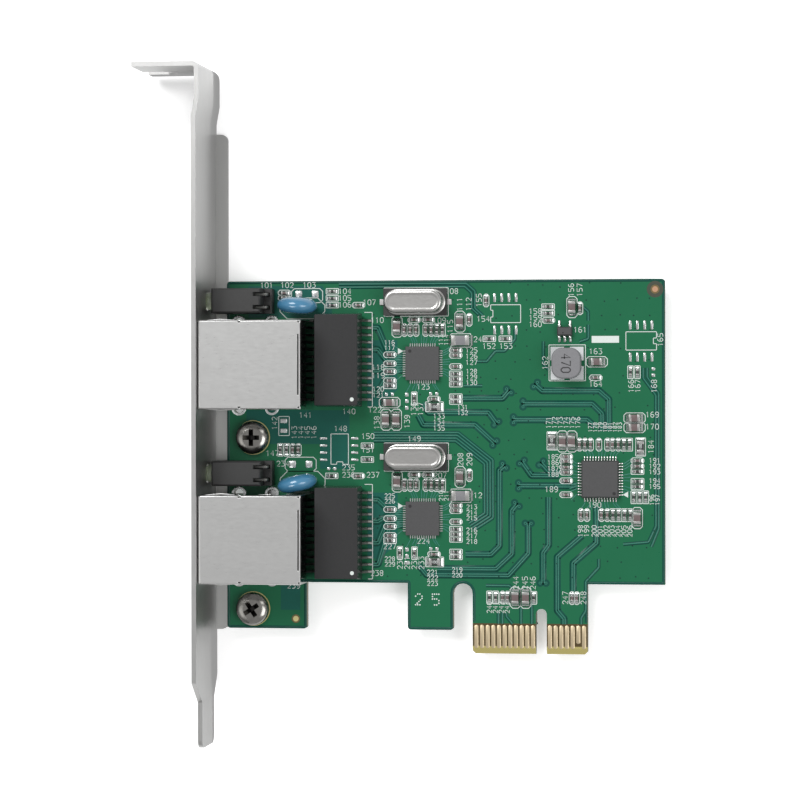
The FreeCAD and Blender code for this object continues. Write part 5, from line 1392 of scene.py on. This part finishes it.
# ---------------------------------------------------------------- packages
@dataclass
class Packages:
    """Controllers, bridge chip, regulator, crystals, inductor and transformers.

    Attributes:
        pads: How many pads a controller has on a side.
        pad_pitch: Their pitch in millimetres.
        pad_reach: How far they lie from its middle.
    """

    pads: int = 12
    pad_pitch: float = 0.4
    pad_reach: float = 3.2

    # The solids after the side's name, the piece's ending, the finish, the slot and the rounding.
    SIDED = (
        ("_controller", "_controller_body", Finishes.PACKAGE, "moulding", 0.08),
        ("_transformer", "_transformer_body", Finishes.MOULDING, "moulding", 0.15),
        ("_crystal_base", "_crystal_plate", Finishes.HOUSING, "crystal_base", 0.06),
    )
    SINGLE = (
        ("bridge_chip", "bridge_chip_body", Finishes.PACKAGE, "moulding", 0.08),
        ("regulator", "regulator_body", Finishes.PACKAGE, "moulding", 0.06),
        ("inductor_core", "inductor_drum", Finishes.FERRITE, "ferrite", 0.08),
        ("inductor_base", "inductor_plate", Finishes.BASE, "inductor_base", 0.05),
    )

    @staticmethod
    def leads() -> None:
        """Tinned leads."""
        sided = [side + part for part in ("_crystal_terminals", "_disc_capacitor_leads", "_lamp_leads")
                 for side in SIDES]
        transformers = [side + "_transformer_leads" for side in SIDES]
        for node in [*transformers, "bridge_chip_leads", "regulator_leads", *sided]:
            # Transformer and lamp leads take the darker tin: painted shade under their bodies.
            finish = Finishes.DULL_TIN if "transformer" in node or "lamp" in node else Finishes.TIN
            softened(node, node + "_tinned", finish, "tinned_lead", 0.03, 1)

    def controller_pads(self) -> None:
        """Tinned pads round the no-lead controllers."""
        pad = MeshWork()
        pad.block(mm(-0.3, -0.11), mm(0.36, 0.11, 0.1), 0.03 * MM, 0.04 * MM)
        spots = []
        for side in SIDES:
            x, y = flat_middle(*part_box(side + "_controller"))
            for angle in [turn * math.pi / 2 for turn in range(4)]:
                cos, sin = math.cos(angle), math.sin(angle)
                for index in range(self.pads):
                    u, v = self.pad_reach, (index - (self.pads - 1) / 2) * self.pad_pitch
                    spots.append(Spot(mm(x + u * cos - v * sin, y + u * sin + v * cos), angle))
        copies("controller_pads", pad.mesh("controller_pad"), spots, Finishes.SOLDER)

    def build(self) -> None:
        """Builds the packages."""
        for side in SIDES:
            for part, piece, *rest in self.SIDED:
                softened(side + part, side + piece, *rest)
        for row in self.SINGLE:
            softened(*row)
        self.leads()
        self.controller_pads()
        self.inductor_number()
        self.first_pins()

    @staticmethod
    def inductor_number() -> None:
        """A generic number on the inductor."""
        low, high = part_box("inductor_core")
        number = Lines("inductor_number", Finishes.BLACK_INK, "ferrite", 0.22, base=high.z / MM + 0.005)
        x, y = flat_middle(low, high)
        pitch, wide, tall = 1.18, 1.4, 1.6
        for index, letter in enumerate("470"):
            corners = route(Digits.STROKES[letter])
            number.path([(x + (b - 0.5) * tall, y - (a * wide + (index - 1.35) * pitch)) for a, b in corners])
        number.build()

    @staticmethod
    def first_pins() -> None:
        """The first-pin dots of the transformers and the first-pin dimples of the chips."""
        dots = MeshWork()
        for side in SIDES:
            low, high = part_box(side + "_transformer")
            dots.disc(0.35, 0.012, 24, Vector((high.x, low.y, high.z)) + mm(-1.2, 1.3, 0.002), base=-0.01)
        dots.piece("first_pin_dots", Finishes.LEGEND, "moulding")
        dimples = MeshWork()
        for node, across, along in (
            ("upper_controller", -1, 1), ("lower_controller", -1, 1),
            ("bridge_chip", 1, -1), ("regulator", -1, -1),
        ):
            low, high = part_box(node)
            x, y = flat_middle(low, high)
            reach = max(min(high.x - low.x, high.y - low.y) / 2 / MM - 0.8, 0.25)
            radius = 0.3 if reach > 1.0 else 0.14
            spot = mm(x + across * reach, y + along * reach, high.z / MM)
            dimples.disc(radius, 0.004, 24, spot, base=-0.01)
        dimples.piece("first_pin_dimples", Finishes.MOULDING, "moulding")


# ---------------------------------------------------------------- standing parts
@dataclass
class DiscCapacitor:
    """A dipped disc capacitor: a smooth lens of epoxy on two leads.

    Attributes:
        side: Which port it serves.
        steps: How many steps go over the lens.
    """

    side: str
    steps: int = 14

    # Where the coating runs down a lead: the radius in radii of the lead, and the height over its top.
    SKIRT = ((1.05, -1.1), (1.5, -0.5), (1.9, 0.4), (1.5, 0.9))

    def build(self) -> None:
        """Builds the disc."""
        node = self.side + "_disc_capacitor"
        low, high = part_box(node)
        middle = (low + high) / 2
        leads = islands(node + "_leads")
        a, b = [(lo + hi) / 2 for lo, hi in leads]
        along = Vector((b.x - a.x, b.y - a.y, 0.0)).normalized()
        axis = Vector((-along.y, along.x, 0.0))
        radius = (high.z - low.z) / 2
        half = max((v.co - middle).dot(axis) for v in CARD["nodes"][node].data.vertices)
        profile = []
        for index in range(self.steps + 1):
            t = math.pi * index / self.steps - math.pi / 2
            bulge = max(0.02, math.cos(t)) ** 0.55
            profile.append((radius * bulge, half * math.sin(t) * (0.9 + 0.1 * abs(math.sin(t)))))
        work = MeshWork()
        work.lathe(profile, middle, axis, 64)
        for lo, hi in leads:
            r = (hi.x - lo.x) / 2
            skirt = [(r * wide, hi.z + up * MM) for wide, up in self.SKIRT]
            work.lathe(skirt, mm(*flat_middle(lo, hi)), UP, 20)
        work.piece(node + "_epoxy", Finishes.DISC, "disc_coating", [node], 60.0)


@dataclass
class Crystal:
    """A crystal's drawn can: a welded rim, upright walls and a rounded top with a shallow pressed field.

    Attributes:
        side: Which port it serves.
        rim: The rim's height in millimetres.
        wall: From the rim's edge to the wall.
        bend: The radius round the top.
        field_drop: How deep the pressed field lies.
    """

    side: str
    rim: float = 0.32
    wall: float = 0.3
    bend: float = 0.42
    field_drop: float = 0.035

    @staticmethod
    def ring(centre: Vector, half_length: float, half_width: float, inset: float, z: float) -> list[Vector]:
        """A stadium at a height, drawn in by an inset."""
        radius = half_width - inset
        straight = half_length - half_width
        points = []
        for sign in (1, -1):
            for turn in [math.pi * (index / 16 - 0.5) for index in range(17)]:
                x = sign * (straight + radius * math.cos(turn))
                points.append(Vector((centre.x + x, centre.y + sign * radius * math.sin(turn), z)))
        return points

    def build(self) -> None:
        """Builds the can."""
        node = self.side + "_crystal_can"
        low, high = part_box(node)
        centre, half = (low + high) / 2, (high - low) / 2
        rim, wall, bend, drop = self.rim * MM, self.wall * MM, self.bend * MM, self.field_drop * MM
        steps = [(0.0, low.z), (0.0, low.z + rim * 0.8), (0.06 * MM, low.z + rim),
                 (wall * 0.8, low.z + rim * 1.1), (wall, low.z + rim * 1.9)]
        for turn in [math.pi / 2 * index / 6 for index in range(7)]:
            steps.append((wall + bend * (1 - math.cos(turn)), high.z - bend + bend * math.sin(turn)))
        inner = wall + bend + 0.22 * MM
        steps += [(inner, high.z), (inner + 0.08 * MM, high.z - drop), (inner + 0.3 * MM, high.z - drop)]
        work = MeshWork()
        work.loft([self.ring(centre, half.x, half.y, inset, z) for inset, z in steps])
        mesh = work.mesh(node + "_cover")
        smooth(mesh, 50.0)
        finish_piece(weighted(place(node + "_cover", mesh)), Finishes.CAN, [node])


@dataclass
class StatusLamp:
    """A lamp in its right-angle holder.

    Attributes:
        side: Which port it serves.
    """

    side: str

    def inside(self, low: Vector, high: Vector) -> None:
        """The lead frame that shows through the resin: a cup on one lead and a post on the other."""
        start = Vector((low.x, (low.y + high.y) / 2, (low.z + high.z) / 2)) + mm(2.0, 0.0)
        cup = [(0.1, 0.25), (0.28, 0.0), (0.36, 0.0), (0.36, 0.55), (0.2, 0.7), (0.2, 3.2)]
        work = MeshWork()
        work.lathe([(r * MM, h * MM) for r, h in cup], start - mm(0.0, 0.35), ALONG_X, 20)
        work.block(start + mm(0.25, 0.3, -0.2), start + mm(3.2, 0.75, 0.2))
        work.piece(self.side + "_lamp_frame", Finishes.TIN, "tinned_lead", degrees=35.0)

    def build(self) -> None:
        """Builds the lens and dresses the holder."""
        node = self.side + "_lamp"
        low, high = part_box(node)
        radius = (high.z - low.z) / 2
        turns = [math.pi / 2 * index / 12 for index in range(1, 13)]
        dome = [(radius * math.sin(t), radius * (1 - math.cos(t))) for t in turns]
        centre = Vector((low.x, (low.y + high.y) / 2, (low.z + high.z) / 2))
        work = MeshWork()
        work.lathe([(0.02 * MM, 0.0), *dome, (radius, high.x - low.x)], centre, ALONG_X)
        work.piece(node + "_lens", Finishes.LENS, "lamp_resin", [node], 50.0)
        self.inside(low, high)
        softened(node + "_holder", node + "_block", Finishes.HOUSING, "housing_plastic", 0.06)


# ---------------------------------------------------------------- bracket, screws and jacks
@dataclass
class ModularJack:
    """A shielded modular jack.

    Attributes:
        side: Which port it is.
    """

    side: str

    def build(self) -> None:
        """Dresses the shield, the housing and the springs."""
        for part, piece, finish, slot, width, segments in (
            ("shield", "cover", Finishes.SHIELD, "shield_tin", 0.05, 2),
            ("housing", "insert", Finishes.HOUSING, "housing_plastic", 0.04, 1),
            ("contacts", "springs", Finishes.SPRING_GOLD, "gold_plate", 0.04, 1),
        ):
            jack = self.side + "_jack_"
            softened(jack + part, jack + piece, finish, slot, width, segments)


@dataclass
class SlotBracket:
    """The bracket and its two screws.

    Attributes:
        edge: The rounding of the sheared edges, in millimetres.
        shank: The radius of a screw's shank.
        turns: How far each screw's cross is turned, in degrees.
        recess: How wide the cross reaches.
    """

    edge: float = 0.1
    shank: float = 1.48
    turns: tuple[float, float] = (33.0, 0.0)
    recess: float = 1.75

    # The cross recess: height over the head's top, half the length and half the width of a slot.
    CROSS = ((0.2, 1.62, 0.42), (-0.9, 0.9, 0.34), (-1.5, 0.35, 0.3))

    def screw(self, work: MeshWork, low: Vector, high: Vector) -> None:
        """Adds one pan-head screw without its recess."""
        radius, top = (high.x - low.x) / 2, high.z
        shank = self.shank * MM
        profile = [(1.2 * MM, low.z), (shank, low.z + 0.25 * MM), (shank, 0.0), (radius - 0.1 * MM, 0.0),
                   (radius, 0.12 * MM)]
        for t in [math.pi / 2 * index / 8 for index in range(9)]:
            profile.append((radius * (0.42 + 0.58 * math.cos(t)), top * (0.45 + 0.55 * math.sin(t))))
        work.lathe([*profile, (0.02 * MM, top)], mm(*flat_middle(low, high)), UP, 64)

    def cross(self, work: MeshWork, low: Vector, high: Vector, turn: float) -> None:
        """Adds the two slots that cut one screw's recess."""
        x, y = flat_middle(low, high)
        top = high.z / MM
        for angle in (turn, turn + 90):
            c, s = math.cos(math.radians(angle)), math.sin(math.radians(angle))
            rings = []
            for height, length, width in self.CROSS:
                corners = [(a * length, b * width) for a, b in ((-1, -1), (1, -1), (1, 1), (-1, 1))]
                rings.append([mm(x + u * c - v * s, y + u * s + v * c, top + height) for u, v in corners])
            work.loft(rings)

    def build(self) -> None:
        """Dresses the bracket and builds the screws."""
        # The bracket's rounded edges take a darker finish: painted shade.
        softened("bracket", "bracket_sheet", Finishes.BRACKET, "bracket_steel", self.edge,
                 edge_shade=Finishes.SHEARED)
        boxes = islands("bracket_screws")
        heads, cutter = MeshWork(), MeshWork()
        for (low, high), turn in zip(boxes, self.turns):
            self.screw(heads, low, high)
            self.cross(cutter, low, high, turn)
        whole = place("screws_whole", heads.mesh("screws"))
        tool = place("recess_tool", cutter.mesh("recess_tool"))
        modifier = whole.modifiers.new("recess", "BOOLEAN")
        modifier.operation = "DIFFERENCE"
        modifier.solver = "EXACT"
        modifier.use_self = True
        modifier.object = tool
        result = evaluated(whole)
        bpy.data.objects.remove(whole)
        bpy.data.objects.remove(tool)
        smooth(result, 38.0)
        finish_piece(place("screws", result), Finishes.SCREW, ["bracket_screws"])
        # Faces deep in each recess take the dark steel: painted shade, with some residue.
        result.materials.append(Finishes.RECESS.material)
        for face in result.polygons:
            for low, high in boxes:
                reach = (face.center.to_2d() - mm(*flat_middle(low, high)).to_2d()).length
                deep = high.z * (0.45 + 0.55 * math.cos(min(1.5, reach / (2.6 * MM)))) - 0.12 * MM
                if reach < self.recess * MM and face.center.z < deep:
                    face.material_index = 1


@dataclass
class EdgeContacts:
    """The gold contacts of the edge connector.

    Attributes:
        half: Half a contact's width in millimetres.
        reach: Half its length.
        end: How long its rounded ends are.
    """

    half: float = 0.35
    reach: float = 2.05
    end: float = 0.3

    def build(self) -> None:
        """Builds a rounded contact on every solid's place."""
        spots = []
        for low, high in islands("edge_contacts"):
            wide, long = (high.x - low.x) / (2 * self.half * MM), (high.y - low.y) / (2 * self.reach * MM)
            spots.append(Spot((low + high) / 2, 0.0, (wide, long, 1.0)))
        turns = [math.pi * index / 8 for index in range(9)]
        loops = []
        for z, gap in ((-0.025, 0.0), (0.015, 0.0), (0.026, 0.03)):
            across, along, base = self.half - gap, self.end - gap, self.reach - self.end
            loops.append([mm(sign * across * math.cos(t), sign * (base + along * math.sin(t)), z)
                          for sign in (-1, 1) for t in turns])
        work = MeshWork()
        work.loft(loops)
        finger = work.mesh("gold_finger")
        copies("gold_fingers", finger, spots, Finishes.GOLD, ["edge_contacts"])


# ---------------------------------------------------------------- studio
@dataclass
class Studio:
    """Floor, lights, backdrop and camera.

    Attributes:
        spot: Where the camera stands, in millimetres.
        turn: Its turn about X, Y and Z, in radians.
        lens: Its focal length in millimetres on a sensor 36 mm wide.
        floor_z: The floor's height in millimetres.
        near: Reflections shorter than this many metres pass through the floor.
        aim: Where the lamps point, in metres.
    """

    spot: Size = (48.56, 45.72, 520.09)
    turn: Size = (-0.0021, 0.1406, -0.0012)
    lens: float = 133.59
    floor_z: float = -4.14
    near: float = 0.006
    aim: Size = (-0.02, 0.045, 0.0)

    def camera(self) -> None:
        """Makes the camera."""
        data = bpy.data.cameras.new("camera")
        data.lens = self.lens
        data.sensor_width = 36.0
        data.clip_start, data.clip_end = 0.01, 20.0
        made = bpy.data.objects.new("camera", data)
        made.location = mm(*self.spot)
        made.rotation_euler = self.turn
        bpy.context.scene.collection.objects.link(made)
        bpy.context.scene.camera = made

    def lamp(self, name: str, where: Size, size: float, watts: float) -> None:
        """Adds a square soft light, placed in metres, that points at the card."""
        data = bpy.data.lights.new(name, "AREA")
        data.shape = "SQUARE"
        data.size = size
        data.energy = watts
        made = bpy.data.objects.new(name, data)
        made.location = where
        made.rotation_euler = (Vector(self.aim) - Vector(where)).to_track_quat("-Z", "Y").to_euler()
        bpy.context.scene.collection.objects.link(made)

    def floor(self) -> None:
        """A pale floor that shows white and keeps the shadow.

        It's clear from below, to soft bounces and to short reflections, so that it doesn't darken the card.
        """
        z = self.floor_z * MM
        mesh = bpy.data.meshes.new("floor")
        mesh.from_pydata([(-3, -3, z), (3, -3, z), (3, 3, z), (-3, 3, z)], [], [(0, 1, 2, 3)])
        made = place("floor", mesh)
        material = bpy.data.materials.new("pale_studio_floor")
        material.use_nodes = True
        tree = material.node_tree
        shader = tree.nodes["Principled BSDF"]
        shader.inputs["Roughness"].default_value = 0.9
        shader.inputs["Base Color"].default_value = linear("#f4f4f4")
        ray = add(tree, "ShaderNodeLightPath", {}, {}).outputs
        dark, glow = [self.light(tree, "ShaderNodeEmission", strength) for strength in (0.0, 0.32)]
        extra = add(tree, "ShaderNodeMixShader", {}, {0: ray["Is Camera Ray"], 1: dark, 2: glow}).outputs[0]
        both = add(tree, "ShaderNodeAddShader", {}, {0: shader.outputs[0], 1: extra}).outputs[0]
        behind = add(tree, "ShaderNodeNewGeometry", {}, {}).outputs["Backfacing"]
        short = maths(tree, "LESS_THAN", ray["Ray Length"], self.near)
        mirror = maths(tree, "MULTIPLY", short, ray["Is Glossy Ray"])
        bounced = maths(tree, "MAXIMUM", mirror, ray["Is Diffuse Ray"])
        clear = add(tree, "ShaderNodeBsdfTransparent", {}, {}).outputs[0]
        ends = {0: maths(tree, "MAXIMUM", behind, bounced), 1: both, 2: clear}
        sided = add(tree, "ShaderNodeMixShader", {}, ends).outputs[0]
        tree.links.new(sided, tree.nodes["Material Output"].inputs["Surface"])
        mesh.materials.append(material)

    @staticmethod
    def light(tree: Tree, kind: str, strength: float) -> Socket:
        """White light of a strength."""
        return add(tree, kind, {}, {"Color": linear("#ffffff"), "Strength": strength}).outputs[0]

    def world(self) -> None:
        """An even pale surround: white where it is seen, dimmer where it only lights."""
        world = bpy.data.worlds.new("surround")
        bpy.context.scene.world = world
        world.use_nodes = True
        tree = world.node_tree
        tree.nodes.clear()
        ray = add(tree, "ShaderNodeLightPath", {}, {}).outputs
        light, white = [self.light(tree, "ShaderNodeBackground", strength) for strength in (0.55, 1.0)]
        seen = maths(tree, "MAXIMUM", ray["Is Camera Ray"], ray["Is Transmission Ray"])
        mix = add(tree, "ShaderNodeMixShader", {}, {0: seen, 1: light, 2: white}).outputs[0]
        add(tree, "ShaderNodeOutputWorld", {}, {"Surface": mix})

    def build(self) -> None:
        """Sets the whole stage."""
        bpy.context.scene.view_settings.view_transform = "Standard"
        self.camera()
        self.floor()
        self.world()
        self.lamp("key", (-0.34, 0.56, 0.76), 0.5, 7.0)
        self.lamp("fill", (0.62, -0.2, 0.7), 0.6, 4.2)


def main() -> None:
    """Builds the card's looks in order."""
    logging.basicConfig(level=logging.INFO, format="%(message)s")
    CARD.update(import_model())
    TREES.update(copies=Trees.copies(), strokes=Trees.strokes())
    Studio().build()
    Board().build()
    EdgeContacts().build()
    SlotBracket().build()
    for side in SIDES:
        ModularJack(side).build()
        StatusLamp(side).build()
        DiscCapacitor(side).build()
        Crystal(side).build()
    Packages().build()
    ChipParts().build()


if __name__ == "__main__":
    main()
